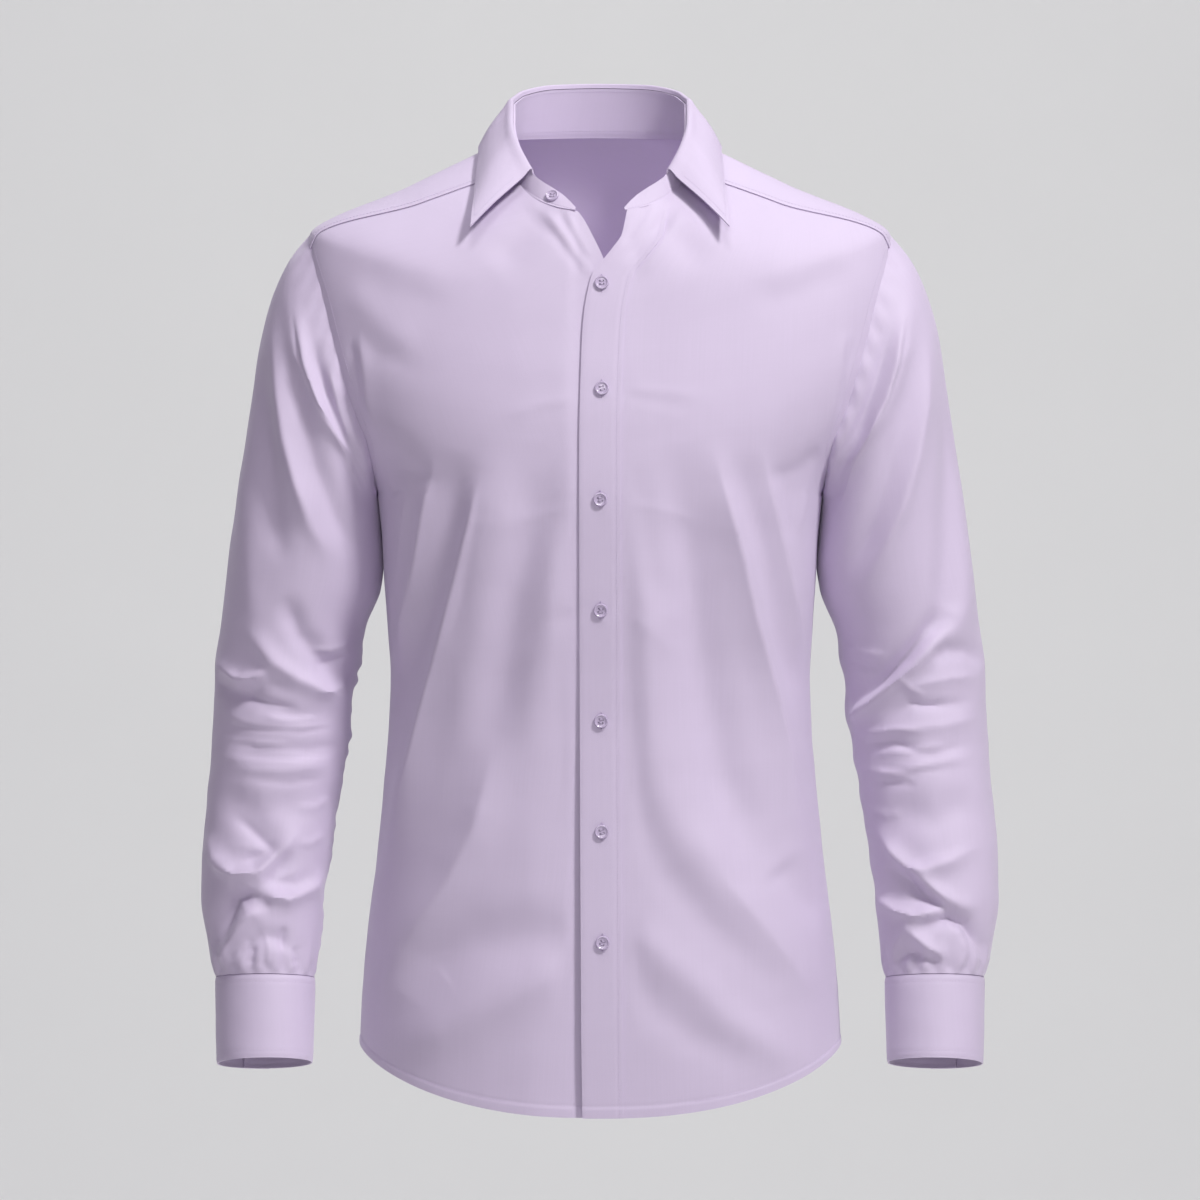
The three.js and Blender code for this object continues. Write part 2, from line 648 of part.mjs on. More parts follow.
// The sleeve's folds are tabled for the right sleeve, so its side is negative.
function sleevePoint(degrees, station) {
  const point = plainSleevePoint(degrees, station);
  const around = plainSleevePoint(degrees + 2, station).sub(plainSleevePoint(degrees - 2, station));
  const lower = Math.min(station + 0.05, SLEEVE_END);
  const upper = Math.max(station - 0.05, 0);
  const along = plainSleevePoint(degrees, lower).sub(plainSleevePoint(degrees, upper));
  const normal = along.cross(around).normalize();
  const facing = smoothstep(Math.abs(normal.y), 0.1, 0.5);
  const fromEnds = smoothstep(station, 0, 1.5) * (1 - smoothstep(station, SLEEVE_END - 0.6, SLEEVE_END));
  const seen = seenFromFront(point);
  const folds = normal.y < 0 ? SLEEVE_FOLDS_FRONT : SLEEVE_FOLDS_BACK;
  const depth = foldSum(folds, -seen.x, seen.z) * facing * fromEnds;
  const towardBody = smoothstep(Math.abs(((degrees + 90) % 360) - 0), 0, CREASE_CLEAR_DEGREES);
  return point.addScaledVector(normal, depth * (normal.x < 0 ? Math.max(towardBody, 0.3) : 1));
}

const SLEEVE_LEVELS = [...steps(0, 4, 6), ...steps(4, 8, 5).slice(1), ...steps(8, SLEEVE_END, 14).slice(1)];
const PLACKET_COLUMN = 9;
const PLACKET_ROWS = 7;

function mirrored(grid) {
  return grid.map((row) => row.map((point) => new THREE.Vector3(-point.x, point.y, point.z)).reverse());
}

function addPair(name, grid, thickness, colour, closedRound) {
  addPiece(name + "_left", wall(grid, thickness, closedRound), colour);
  addPiece(name + "_right", wall(mirrored(grid), thickness, closedRound), colour);
}

function buildSleeves() {
  const turn = 360 / SLEEVE_CELLS;
  const grid = SLEEVE_LEVELS.map((station) =>
    Array.from({ length: SLEEVE_CELLS }, (_, j) => sleevePoint(j * turn, station)),
  );
  addPair("sleeve", grid, CLOTH, COLOURS.cloth, true);
  const normals = gridNormals(grid, true);
  const first = grid.length - PLACKET_ROWS;
  const strip = grid.slice(first).map((row, i) =>
    steps(0, 2, 2).map((k) => {
      const column = PLACKET_COLUMN + k;
      const lifted = SLEEVE_PLACKET_GAP + CLOTH;
      return row[column].clone().addScaledVector(normals[first + i][column], lifted);
    }),
  );
  const [top, next] = strip;
  strip[0] = [top[0].clone().lerp(next[0], 0.7), top[1], top[2].clone().lerp(next[2], 0.7)];
  addPair("sleeve_placket", strip, CLOTH, COLOURS.cloth, false);
}

const CUFF_START_DEGREES = 150;
const CUFF_LAP_OFFSET = COLLAR_CLOTH + SEAM_GAP;

// A point of the cuff's outer face; the lapping end runs outside the first one.
function cuffPoint(degrees, station) {
  const ring = cuffStation(station);
  const lap = CUFF_LAP_OFFSET * smoothstep(degrees - CUFF_START_DEGREES, 250, 345);
  const wider = { ...ring, outX: ring.outX + lap, inX: ring.inX - lap, halfDepth: ring.halfDepth + lap };
  return ringPoint(wider, degrees);
}

function buildCuffs() {
  const end = CUFF_START_DEGREES + 360 + CUFF_OVERLAP_DEGREES;
  const grid = steps(0, 2, 3).map((station) =>
    steps(CUFF_START_DEGREES, end, CUFF_CELLS).map((degrees) => cuffPoint(degrees, station)),
  );
  addPair("cuff", grid, COLLAR_CLOTH, COLOURS.band, false);
}

// The collar stand: its height and how far it leans back, by degrees from the front.
const STAND = table(
  ["degrees", "height", "lean"],
  [14, 2.5, 40],
  [20, 9, 40],
  [27, 13, 38],
  [36, 14.5, 32],
  [48, 14.5, 22],
  [60, 20.5, 9],
  [75, 26.5, 3],
  [90, 26, 5],
  [105, 28.5, 5],
  [120, 32.5, 4],
  [150, 36.5, 5],
  [180, 37, 5],
);
const standHeight = curve(STAND, "degrees", "height");
const standLean = curve(STAND, "degrees", "lean");
const STAND_END_DEGREES = 14;
const COLLAR_COLUMNS = steps(STAND_END_DEGREES, 360 - STAND_END_DEGREES, COLLAR_CELLS);
// The leaf starts this many columns in from each end of the stand.
const LEAF_SETBACK = 4;

function fromFront(degrees) {
  return degrees > 180 ? 360 - degrees : degrees;
}

// The level direction away from the neck.
function neckOutward(degrees) {
  const along = bodyPoint(degrees + 1, 0).sub(bodyPoint(degrees - 1, 0));
  return new THREE.Vector3(along.y, -along.x, 0).normalize();
}

// A point of the stand's outer face, at a share of its height.
function standPoint(degrees, share) {
  const angle = fromFront(degrees);
  const lean = radians(standLean(angle));
  const rise = standHeight(angle) * share;
  const point = bodyPoint(degrees, 0);
  point.z += CURVED_SEAM_GAP + rise * Math.cos(lean);
  return point.addScaledVector(neckOutward(degrees), -rise * Math.sin(lean));
}

function buildStand() {
  const grid = steps(1, 0, 3).map((share) =>
    COLLAR_COLUMNS.map((degrees) => standPoint(degrees, share)),
  );
  addPiece("collar_stand", wall(grid, COLLAR_CLOTH), COLOURS.band);
}

// The collar leaf's outer edge lies over the body: where, and how far off the cloth.
const LEAF_EDGE = table(
  ["degrees", "edgeDegrees", "edgeLevel", "lift"],
  [49, 33, 1.22, 12],
  [58, 42, 0.88, 9],
  [68, 53.5, 0.6, 7],
  [78, 70, 0.4, 5.5],
  [90, 87, 0.31, 4.5],
  [110, 113, 0.26, 4],
  [140, 143, 0.24, 4],
  [180, 180, 0.22, 4],
);
const leafEdge = curves(LEAF_EDGE, "degrees");

// The leaf's shape from the stand's top, over the roll and down to its edge. out and up are
// distances from the stand's top, and share is how much of the way to the edge is added.
const LEAF_PROFILE = table(
  ["out", "up", "share"],
  [0, CURVED_SEAM_GAP, 0],
  [0.6, 3.6, 0],
  [2.4, 4.2, 0],
  [4.2, 3.2, 0.02],
  [5.2, 1, 0.1],
  [5.4, 0.4, 0.3],
  [4.8, 0.3, 0.5],
  [2.8, 0.2, 0.75],
  [0, 0, 1],
);

function leafPoint(degrees, row) {
  const angle = fromFront(degrees);
  const edge = leafEdge(angle);
  const side = degrees > 180 ? -1 : 1;
  const onBody = bodyPoint(edge.edgeDegrees, edge.edgeLevel);
  onBody.addScaledVector(bodyNormal(edge.edgeDegrees, edge.edgeLevel), edge.lift);
  onBody.x *= side;
  const top = standPoint(degrees, 1);
  const outward = neckOutward(degrees);
  return top
    .clone()
    .lerp(onBody, row.share)
    .addScaledVector(outward, row.out)
    .add(new THREE.Vector3(0, 0, row.up));
}

function buildLeaf() {
  const columns = COLLAR_COLUMNS.slice(LEAF_SETBACK, -LEAF_SETBACK);
  const grid = LEAF_PROFILE.map((row) => columns.map((degrees) => leafPoint(degrees, row)));
  addPiece("collar_leaf", wall(grid, COLLAR_CLOTH), COLOURS.cloth);
}

// A shirt button: flat underneath, with a raised rim.
const BUTTON_PROFILE = table(
  ["radius", "height"],
  [0, 0],
  [0.9, 0],
  [1, 1.2],
  [0.9, 2.2],
  [0.74, 1.6],
  [0, 1.6],
);

function addButton(name, place, outward, radius = BUTTON_RADIUS) {
  const profile = BUTTON_PROFILE.map((row) => new THREE.Vector2(row.radius * radius, row.height));
  const button = addPiece(name, new THREE.LatheGeometry(profile, BUTTON_SIDES), COLOURS.button, 0.35);
  button.quaternion.setFromUnitVectors(new THREE.Vector3(0, 1, 0), outward.clone().normalize());
  button.position.copy(place).addScaledVector(outward, SEAM_GAP + 0.1);
}

function buildButtons() {
  for (let i = 0; i < FRONT_BUTTONS; i += 1) {
    const z = i === 0 ? FIRST_BUTTON_Z : SECOND_BUTTON_Z - (i - 1) * BUTTON_SPACING;
    const level = crossing(0, HEM, (place) => z - bodyPoint(0, place).z);
    // The top button keeps the others' line, although the band leans away at the neck.
    const bandAt = crossing(0, HEM, (place) => Math.min(z, SECOND_BUTTON_Z) - bodyPoint(0, place).z);
    const { left, leftInner } = lappedColumns(bandAt);
    const middle = (left + leftInner) / 2;
    const place = clothPoint(middle, level, SEAM_GAP + CLOTH);
    addButton("button_" + (i + 1), place, bodyNormal(middle, level));
  }
  const onStand = standPoint(328, 0.5);
  const downStand = standPoint(328, 0).sub(standPoint(328, 1));
  const alongStand = standPoint(329, 0.5).sub(standPoint(327, 0.5));
  addButton("button_collar", onStand, downStand.cross(alongStand).normalize(), BUTTON_RADIUS * 0.95);
  const middleOfLap = CUFF_START_DEGREES + 360 + CUFF_OVERLAP_DEGREES / 2;
  const onCuff = cuffPoint(middleOfLap, 1);
  const roundCuff = cuffPoint(middleOfLap + 5, 1).sub(cuffPoint(middleOfLap - 5, 1));
  const downCuff = cuffPoint(middleOfLap, 1.5).sub(cuffPoint(middleOfLap, 0.5));
  const outward = downCuff.cross(roundCuff).normalize();
  for (const [name, side] of [["left", 1], ["right", -1]]) {
    const turned = new THREE.Vector3(side, 1, 1);
    addButton("button_cuff_" + name, onCuff.clone().multiply(turned), outward.clone().multiply(turned));
  }
}

buildFronts();
buildBack();
buildYoke();
buildSleeves();
buildCuffs();
buildStand();
buildLeaf();
buildButtons();

export default shirt;
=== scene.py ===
# A long sleeve dress shirt in lilac cotton, filled out as if worn, with its collar open at the neck.
# Shapes are worked out in millimetres and put into metres when a mesh is made.
# X runs to the wearer's left, the front faces -Y, Z is up.
import math
import bpy
import numpy as np
from mathutils import Matrix, Vector


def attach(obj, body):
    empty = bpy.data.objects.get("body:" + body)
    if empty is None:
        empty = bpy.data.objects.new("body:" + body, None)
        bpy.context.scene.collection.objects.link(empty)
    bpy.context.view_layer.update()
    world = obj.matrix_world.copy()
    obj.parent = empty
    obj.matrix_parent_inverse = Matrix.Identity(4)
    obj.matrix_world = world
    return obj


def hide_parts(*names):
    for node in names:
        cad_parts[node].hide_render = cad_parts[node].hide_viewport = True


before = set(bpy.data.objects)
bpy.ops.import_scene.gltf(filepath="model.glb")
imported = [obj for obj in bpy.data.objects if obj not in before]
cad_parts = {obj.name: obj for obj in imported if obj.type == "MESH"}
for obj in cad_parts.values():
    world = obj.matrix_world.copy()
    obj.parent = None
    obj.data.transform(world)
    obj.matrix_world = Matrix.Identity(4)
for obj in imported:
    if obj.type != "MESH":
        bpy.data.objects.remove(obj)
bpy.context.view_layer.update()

MM = 0.001

# Sizes of the cloth and its sewing
CLOTH = 0.7
BAND_CLOTH = 1.2
FOLDED_STRIP = 0.8
SEAM_ALLOWANCE = 5.0
PLACKET_WIDTH = 32
HEM_WIDTH = 8.0
UNDERLAP = 1.25
SLEEVE_PLACKET_DEGREES = 163.6
SLEEVE_PLACKET_HALF_DEGREES = 15.5
CUFF_START_DEGREES = 150
CUFF_OVERLAP_DEGREES = 32
CUFF_LAP = 1.8
STAND_END_DEGREES = 14
LEAF_END_DEGREES = 50.9
COLLAR_BUTTON_DEGREES = 328.0
BUTTON_RADIUS = 5.4
HOLE_OFFSET = 1.35
HOLE_RADIUS = 0.78
BUTTONHOLE_HALF_LENGTH = 7.2
BUTTONHOLE_HALF_WIDTH = 1.0
FIRST_BUTTON_Z = -120
SECOND_BUTTON_Z = -202
BUTTON_SPACING = 85.2
FRONT_BUTTONS = 7
STITCH_PITCH = 2.7
STITCH_LENGTH = 2.0
STITCH_THICKNESS = 0.34
HOLE_STITCH_PITCH = 0.5
HOLE_STITCH_LENGTH = 1.3
HOLE_STITCH_THICKNESS = 0.42
STITCH_INSET = 7.5

# How far the folds and creases in the lists below move the cloth, as a share of their depths
FOLD_DEPTH = 1.25
BACK_FOLD_DEPTH = 1.7
CREASE_DEPTH = 1.2
SLEEVE_CREASE_DEPTH = 1.7

# Where the shirt is looked at from, and what the picture takes in
EYE_DISTANCE = 5000
EYE_Z = -370
PICTURE_WIDTH = 944.4
PICTURE_MIDDLE_Z = -364.381
SENSOR_WIDTH = 36

# The studio, in metres
FLOOR_Z = -1.6
FLOOR_START = -7.0
SWEEP_START = 5.0
SWEEP_RADIUS = 2.6
SWEEP_HALF_WIDTH = 9.0
WALL_TOP = 7.0

# The line down the body's front along which rows are spaced and the hem is measured, in degrees
ROW_LINE = 30.0
# Columns of the front band, shared with the fronts below it
BAND_COLUMNS = 15
UP = np.array([0, 0, 1.0])


def table(columns, *rows):
    """Rows of numbers as one array for each named column."""
    return {name: np.array([row[i] for row in rows], float) for i, name in enumerate(columns)}


def curve(keys, values):
    """A smooth curve through a column that never swings past its rows."""
    slopes = np.diff(values) / np.diff(keys)
    tangents = np.empty(len(keys))
    tangents[0] = slopes[0]
    tangents[-1] = slopes[-1]
    before = slopes[:-1]
    after = slopes[1:]
    same_way = before * after > 0
    total = np.where(same_way, before + after, 1)
    tangents[1:-1] = np.where(same_way, 2 * before * after / total, 0)

    def at(key):
        key = np.asarray(key, float)
        i = np.clip(np.searchsorted(keys, key, side="right") - 1, 0, len(keys) - 2)
        span = keys[i + 1] - keys[i]
        t = np.clip((key - keys[i]) / span, 0, 1)
        return (
            values[i] * (2 * t**3 - 3 * t**2 + 1)
            + values[i + 1] * (3 * t**2 - 2 * t**3)
            + tangents[i] * span * (t**3 - 2 * t**2 + t)
            + tangents[i + 1] * span * (t**3 - t**2)
        )

    return at


def curves(columns, key):
    parts = {name: curve(columns[key], values) for name, values in columns.items() if name != key}
    return lambda at: {name: part(at) for name, part in parts.items()}


def crossing(low, high, rises):
    """Where a function that rises from a negative value crosses zero."""
    for _ in range(36):
        middle = (low + high) / 2
        past = rises(middle) > 0
        high = np.where(past, middle, high)
        low = np.where(past, low, middle)
    return (low + high) / 2


def smoothstep(value, low, high):
    t = np.clip((value - low) / (high - low), 0, 1)
    return t * t * (3 - 2 * t)


def lerp(a, b, share):
    return a + (b - a) * share


def unit(vectors):
    return vectors / np.maximum(np.linalg.norm(vectors, axis=-1, keepdims=True), 1e-9)


# The body is a stack of closed loops, from the neck out over the shoulders and down to the hem.
body_loop = curves(
    table(
        [
            "level", "half_width", "z_side", "z_front", "z_back",
            "y_front", "y_back", "fall_front", "fall_back", "square",
        ],
        [0, 70, 0, -63, 5, -75, 56, 0.64, 1.5, 2.2],
        [1, 150, -39, -90, -36, -87, 84, 1.2, 1.5, 2.2],
        [2, 228, -77, -126, -92, -98, 101, 1.7, 1.8, 2.3],
        [3, 236, -120, -160, -135, -106, 110, 1.8, 1.8, 2.3],
        [4, 231, -165, -195, -178, -114, 115, 1.8, 1.8, 2.3],
        [5, 211, -215, -232, -224, -120, 118, 1.8, 1.8, 2.35],
        [6, 175, -282, -282, -282, -123, 117, 1.6, 1.6, 2.4],
        [7, 171, -335, -335, -335, -120, 111, 1.5, 1.5, 2.4],
        [8, 167, -385, -385, -385, -116, 103, 1.5, 1.5, 2.35],
        [9, 164.5, -427, -427, -427, -112, 98, 1.5, 1.5, 2.3],
        [10, 166, -465, -465, -465, -110, 97, 1.5, 1.5, 2.3],
        [11, 170.5, -515, -515, -515, -111, 101, 1.5, 1.5, 2.3],
        [12, 176, -570, -571, -571, -113, 107, 1.5, 1.5, 2.3],
        [13, 183, -624, -632, -634, -116, 111, 1.5, 1.5, 2.3],
        [14, 187, -669, -698, -704, -117, 113, 1.5, 1.5, 2.3],
        [15, 189, -711, -763, -776, -117, 113, 1.5, 1.5, 2.3],
    ),
    "level",
)
UNDERARM = 6
HEM = 15
BACK_SEAM = 2.45

ARMHOLE = table(
    ["z", "x"],
    [-285, 175],
    [-268, 176.5],
    [-245, 180.5],
    [-225, 188],
    [-212, 193],
    [-166, 206.5],
    [-128, 216],
    [-91, 226],
    [-78, 228],
    [-60, 231],
)
armhole_x = curve(ARMHOLE["z"], ARMHOLE["x"])

# The front edges of the two fronts: the left one lies over the right one below the open neck.
LEFT_EDGE = table(
    ["z", "x"],
    [-790, -13],
    [-690, -14.5],
    [-250, -16],
    [-165, -14],
    [-143, -12.4],
    [-124, -9.2],
    [-111, -5.4],
    [-103, 1],
    [-92, 9.8],
    [-82, 16.5],
    [-71, 19.2],
    [-59, 21.5],
)
RIGHT_EDGE = table(
    ["z", "x"],
    [-790, PLACKET_WIDTH - 13],
    [-690, PLACKET_WIDTH - 14.5],
    [-250, PLACKET_WIDTH - 16],
    [-165, 15],
    [-135, 12],
    [-115, 8],
    [-99, 2.4],
    [-82, -5.5],
    [-68, -13],
    [-58, -20.5],
)
left_edge_x = curve(LEFT_EDGE["z"], LEFT_EDGE["x"])
right_edge_x = curve(RIGHT_EDGE["z"], RIGHT_EDGE["x"])

YOKE_SEAM = table(["level", "degrees"], [0, 18], [1, 22], [2, 13], [3, 10])
yoke_seam_degrees = curve(YOKE_SEAM["level"], YOKE_SEAM["degrees"])


def body_point(degrees, level):
    """A point of the plain body: 0 degrees is the front, 90 the wearer's left side, 180 the back."""
    degrees, level = np.broadcast_arrays(np.asarray(degrees, float), np.asarray(level, float))
    loop = body_loop(level)
    sine = np.sin(np.radians(degrees))
    cosine = np.cos(np.radians(degrees))
    at_front = cosine > 0
    power = 2 / loop["square"]
    across = np.sign(sine) * np.abs(sine) ** power
    deep = np.abs(cosine) ** power
    fall = np.abs(cosine) ** np.where(at_front, loop["fall_front"], loop["fall_back"])
    z_end = np.where(at_front, loop["z_front"], loop["z_back"])
    return np.stack(
        [
            loop["half_width"] * across,
            np.where(at_front, loop["y_front"], loop["y_back"]) * deep,
            lerp(loop["z_side"], z_end, fall),
        ],
        axis=-1,
    )


def body_normal(degrees, level):
    up = np.maximum(level - 0.02, 0)
    down = np.minimum(level + 0.02, HEM)
    along = body_point(degrees + 0.4, level) - body_point(degrees - 0.4, level)
    downward = body_point(degrees, down) - body_point(degrees, up)
    return unit(np.cross(downward, along))


def armhole_degrees(level, at_front):
    def past(degrees):
        point = body_point(degrees if at_front else 180 - degrees, level)
        return point[..., 0] - armhole_x(point[..., 2])

    low = np.zeros(np.shape(level))
    found = crossing(low, low + 90, past)
    return found if at_front else 180 - found


def edge_degrees(level, edge, shift=0.0):
    def past(degrees):
        point = body_point(degrees, level)
        return point[..., 0] - edge(point[..., 2]) - shift

    low = np.zeros(np.shape(level)) - 60
    return crossing(low, low + 120, past)


def past_armhole(degrees, level):
    point = body_point(degrees, level)
    return point[..., 0] - armhole_x(point[..., 2])


FRONT_CORNER = float(crossing(1.5, 4.0, lambda level: past_armhole(90 - yoke_seam_degrees(level), level)))
BACK_CORNER = float(armhole_degrees(np.array(BACK_SEAM), False))


# Folds of the cloth, seen from the front at the scale of the side seams. A ridge has a depth above
# zero and a trough one below it; crisp runs from a soft swell, 0, to a sharp pulled line, 1.
def fold(half_width, depth, crisp, *points):
    return {"half_width": half_width, "depth": depth, "crisp": crisp, "points": np.array(points, float)}


FRONT_FOLDS = [
    # The wearer's right front: pulls that fan out from under the chest toward the side
    fold(12, 1.8, 0.3, (-131, -250), (-138, -296), (-144, -332), (-150, -360), (-157, -386), (-166, -425)),
    fold(15, 4.4, 0.2,
         (-94, -262), (-101, -300), (-116, -360), (-132, -431), (-147, -492), (-162, -544), (-174, -588)),
    fold(17, -4.6, 0, (-110, -246), (-114, -294), (-122, -335), (-134, -372), (-146, -408), (-158, -450)),
    fold(22, 3.8, 0, (-84, -250), (-80, -300), (-86, -342), (-96, -394), (-108, -440), (-124, -490)),
    fold(24, -4.6, 0, (-44, -240), (-55, -312), (-68, -356), (-74, -400), (-82, -440), (-92, -484)),
    fold(22, 2.6, 0, (-32, -290), (-36, -340), (-42, -400), (-52, -460), (-66, -520)),
    fold(20, 5, 0.2,
         (-76, -470), (-90, -523), (-100, -552), (-117, -584), (-140, -617), (-160, -651), (-180, -692)),
    fold(26, -4.2, 0, (-18, -622), (-60, -630), (-100, -634), (-133, -648), (-152, -676)),
    fold(22, 3.8, 0, (-14, -634), (-50, -664), (-88, -684), (-130, -707), (-160, -724)),
    # Hollows below the collar's points
    fold(17, -2.2, 0, (-44, -62), (-60, -76), (-86, -104)),
    fold(17, -2.2, 0, (44, -62), (60, -76), (86, -104)),
    # The wearer's left front
    fold(14, 4.2, 0.2,
         (88, -238), (100, -290), (111, -332), (120, -376), (130, -415), (145, -478), (157, -534),
         (176, -590)),
    fold(24, -7, 0,
         (58, -240), (68, -300), (74, -349), (79, -394), (86, -442), (98, -500), (120, -550), (142, -592)),
    fold(11, 2.4, 0.3, (127, -240), (136, -291), (145, -332), (152, -368), (160, -404), (167, -440)),
    fold(12, -3.2, 0, (108, -246), (125, -312), (136, -360), (146, -410), (156, -450)),
    fold(16, -2.2, 0, (24, -258), (31, -300), (40, -342), (50, -380)),
    fold(24, 3.2, 0,
         (24, -240), (28, -328), (31, -392), (35, -441), (44, -505), (60, -550), (88, -592), (122, -630)),
    fold(18, -1.8, 0,
         (6, -384), (10, -441), (18, -485), (32, -534), (54, -580), (84, -618), (118, -650), (150, -676)),
    fold(20, 2.6, 0.1, (66, -530), (84, -562), (101, -592), (126, -619), (152, -653), (176, -694)),
    fold(20, 3.4, 0.1, (6, -618), (45, -641), (76, -668), (101, -696), (134, -718), (160, -730)),
    fold(17, -1.4, 0, (14, -652), (49, -691), (74, -709), (125, -726)),
    fold(16, -2.2, 0, (140, -572), (156, -590), (178, -624)),
]
FRONT_CREASES = [
    fold(5, 2.3, 1, (-130, -252), (-138, -296), (-144, -332), (-150, -360), (-157, -386), (-164, -416)),
    fold(5, 2.4, 1, (-96, -270), (-101, -300), (-116, -360), (-132, -431), (-147, -492), (-158, -530)),
    fold(6, -0.9, 0.4, (-92, -280), (-101, -328), (-108, -368), (-118, -400)),
    fold(5, 0.9, 0.7, (-150, -262), (-153, -292), (-158, -326), (-164, -356)),
    fold(5, 2.4, 1,
         (91, -250), (101, -291), (111, -332), (120, -376), (130, -415), (145, -478), (156, -528)),
    fold(5, 1.8, 1, (128, -248), (136, -291), (145, -332), (152, -368), (160, -404)),
    fold(7, -0.8, 0.4, (144, -258), (147, -290), (151, -320)),
    fold(6, 0.8, 0.6, (-84, -480), (-98, -545), (-120, -590), (-150, -634)),
    fold(7, 0.8, 0.5, (92, -578), (116, -608), (142, -640), (164, -672)),
    fold(20, 0.9, 0, (-200, -84), (-160, -102), (-108, -118)),
    fold(16, -0.8, 0, (-196, -100), (-154, -122), (-116, -134)),
    fold(14, 1.1, 0, (-200, -118), (-172, -146), (-140, -170)),
    fold(12, -0.9, 0.2, (-200, -152), (-172, -172), (-140, -184)),
    fold(7, 1.5, 0.5, (-190, -150), (-186, -180), (-184, -206), (-178, -236)),
    fold(6, -1.4, 0.4, (-196, -160), (-193, -186), (-190, -214)),
    fold(20, 1.3, 0, (200, -84), (160, -102), (112, -116)),
    fold(16, -1.1, 0, (196, -100), (154, -122), (120, -132)),
    fold(8, 1.4, 0.4, (193, -150), (188, -190), (180, -236)),
    fold(7, -1.3, 0.4, (199, -158), (196, -186), (190, -216)),
    fold(6, -1.3, 0.4, (-54, -54), (-36, -76), (-22, -94), (-12, -108)),
    fold(5, 1.2, 0.5, (-46, -54), (-30, -76), (-14, -99), (-6, -112)),
    fold(4, -0.8, 0.5, (-34, -56), (-22, -78), (-10, -98)),
    fold(4, 0.7, 0.5, (-26, -58), (-16, -80), (-8, -96)),
    fold(8, -1.5, 0.2, (56, -50), (38, -78), (18, -100)),
    fold(7, 1.3, 0.2, (66, -56), (50, -84), (30, -110)),
    fold(5, -1.2, 0.3, (40, -50), (28, -70), (18, -86)),
    fold(6, -0.3, 0.2, (18, -203), (44, -208), (80, -216)),
    fold(5, 0.3, 0.3, (18, -197), (50, -200), (90, -203)),
    fold(6, 0.5, 0.3, (-18, -204), (-46, -210), (-80, -222)),
    fold(6, 0.4, 0.3, (20, -288), (50, -293), (84, -304)),
    fold(6, 0.4, 0.3, (-18, -290), (-44, -296), (-70, -306)),
    fold(8, -0.6, 0.2, (-18, -372), (-40, -384), (-66, -402)),
    fold(8, 0.5, 0.2, (20, -374), (40, -388), (64, -410)),
    fold(9, -1.4, 0.2, (-180, -244), (-156, -262), (-124, -272)),
    fold(9, -1.4, 0.2, (178, -244), (156, -262), (126, -270)),
    fold(7, 1.2, 0.3, (-182, -254), (-160, -284), (-150, -320)),
    fold(7, 1.2, 0.3, (180, -254), (164, -280), (156, -316)),
]
BACK_FOLDS = [
    fold(24, 5, 0, (60, -120), (64, -180), (74, -240), (92, -300)),
    fold(24, 5, 0, (-62, -120), (-68, -178), (-76, -236), (-88, -296)),
    fold(26, -5, 0, (-4, -330), (2, -400), (-6, -470)),
    fold(18, 5, 0.1, (-60, -330), (-72, -380), (-90, -430), (-118, -480)),
    fold(18, 5, 0.1, (56, -322), (74, -376), (94, -428), (112, -486)),
    fold(22, -5, 0, (-118, -300), (-124, -350), (-140, -400)),
    fold(22, -5, 0, (116, -304), (128, -352), (144, -396)),
    fold(28, 5, 0, (-40, -470), (-78, -540), (-128, -600), (-160, -650)),
    fold(28, 5, 0, (46, -480), (84, -536), (126, -590), (158, -640)),
    fold(28, -6, 0, (0, -560), (-38, -630), (-100, -680)),
    fold(26, -6, 0, (20, -600), (66, -640), (124, -684)),
]
BACK_CREASES = [
    fold(7, 1.5, 0.8, (-112, -262), (-120, -310), (-128, -362), (-142, -410)),
    fold(7, 1.4, 0.8, (108, -258), (118, -306), (130, -356), (141, -400)),
    fold(8, -1.3, 0.4, (-96, -256), (-100, -300), (-104, -350)),
    fold(8, -1.3, 0.4, (90, -262), (98, -312), (108, -360)),
    fold(9, 1.5, 0.4, (-170, -424), (-130, -436), (-82, -440), (-40, -432)),
    fold(9, 1.4, 0.4, (168, -430), (128, -438), (86, -452)),
    fold(8, -1.3, 0.4, (-160, -446), (-112, -456), (-66, -452)),
    fold(8, -1.2, 0.4, (162, -412), (120, -418), (70, -414)),
    fold(10, 1.5, 0.3, (176, -150), (150, -176), (118, -190)),
    fold(10, 1.5, 0.3, (-178, -146), (-154, -170), (-120, -188)),
    fold(10, -1.6, 0.3, (-170, -190), (-140, -208), (-104, -214)),
    fold(10, -1.6, 0.3, (168, -196), (142, -212), (108, -220)),
    fold(12, 1.6, 0.2, (-20, -130), (-24, -190), (-18, -250)),
    fold(12, -1.4, 0.2, (22, -140), (26, -200), (20, -262)),
]
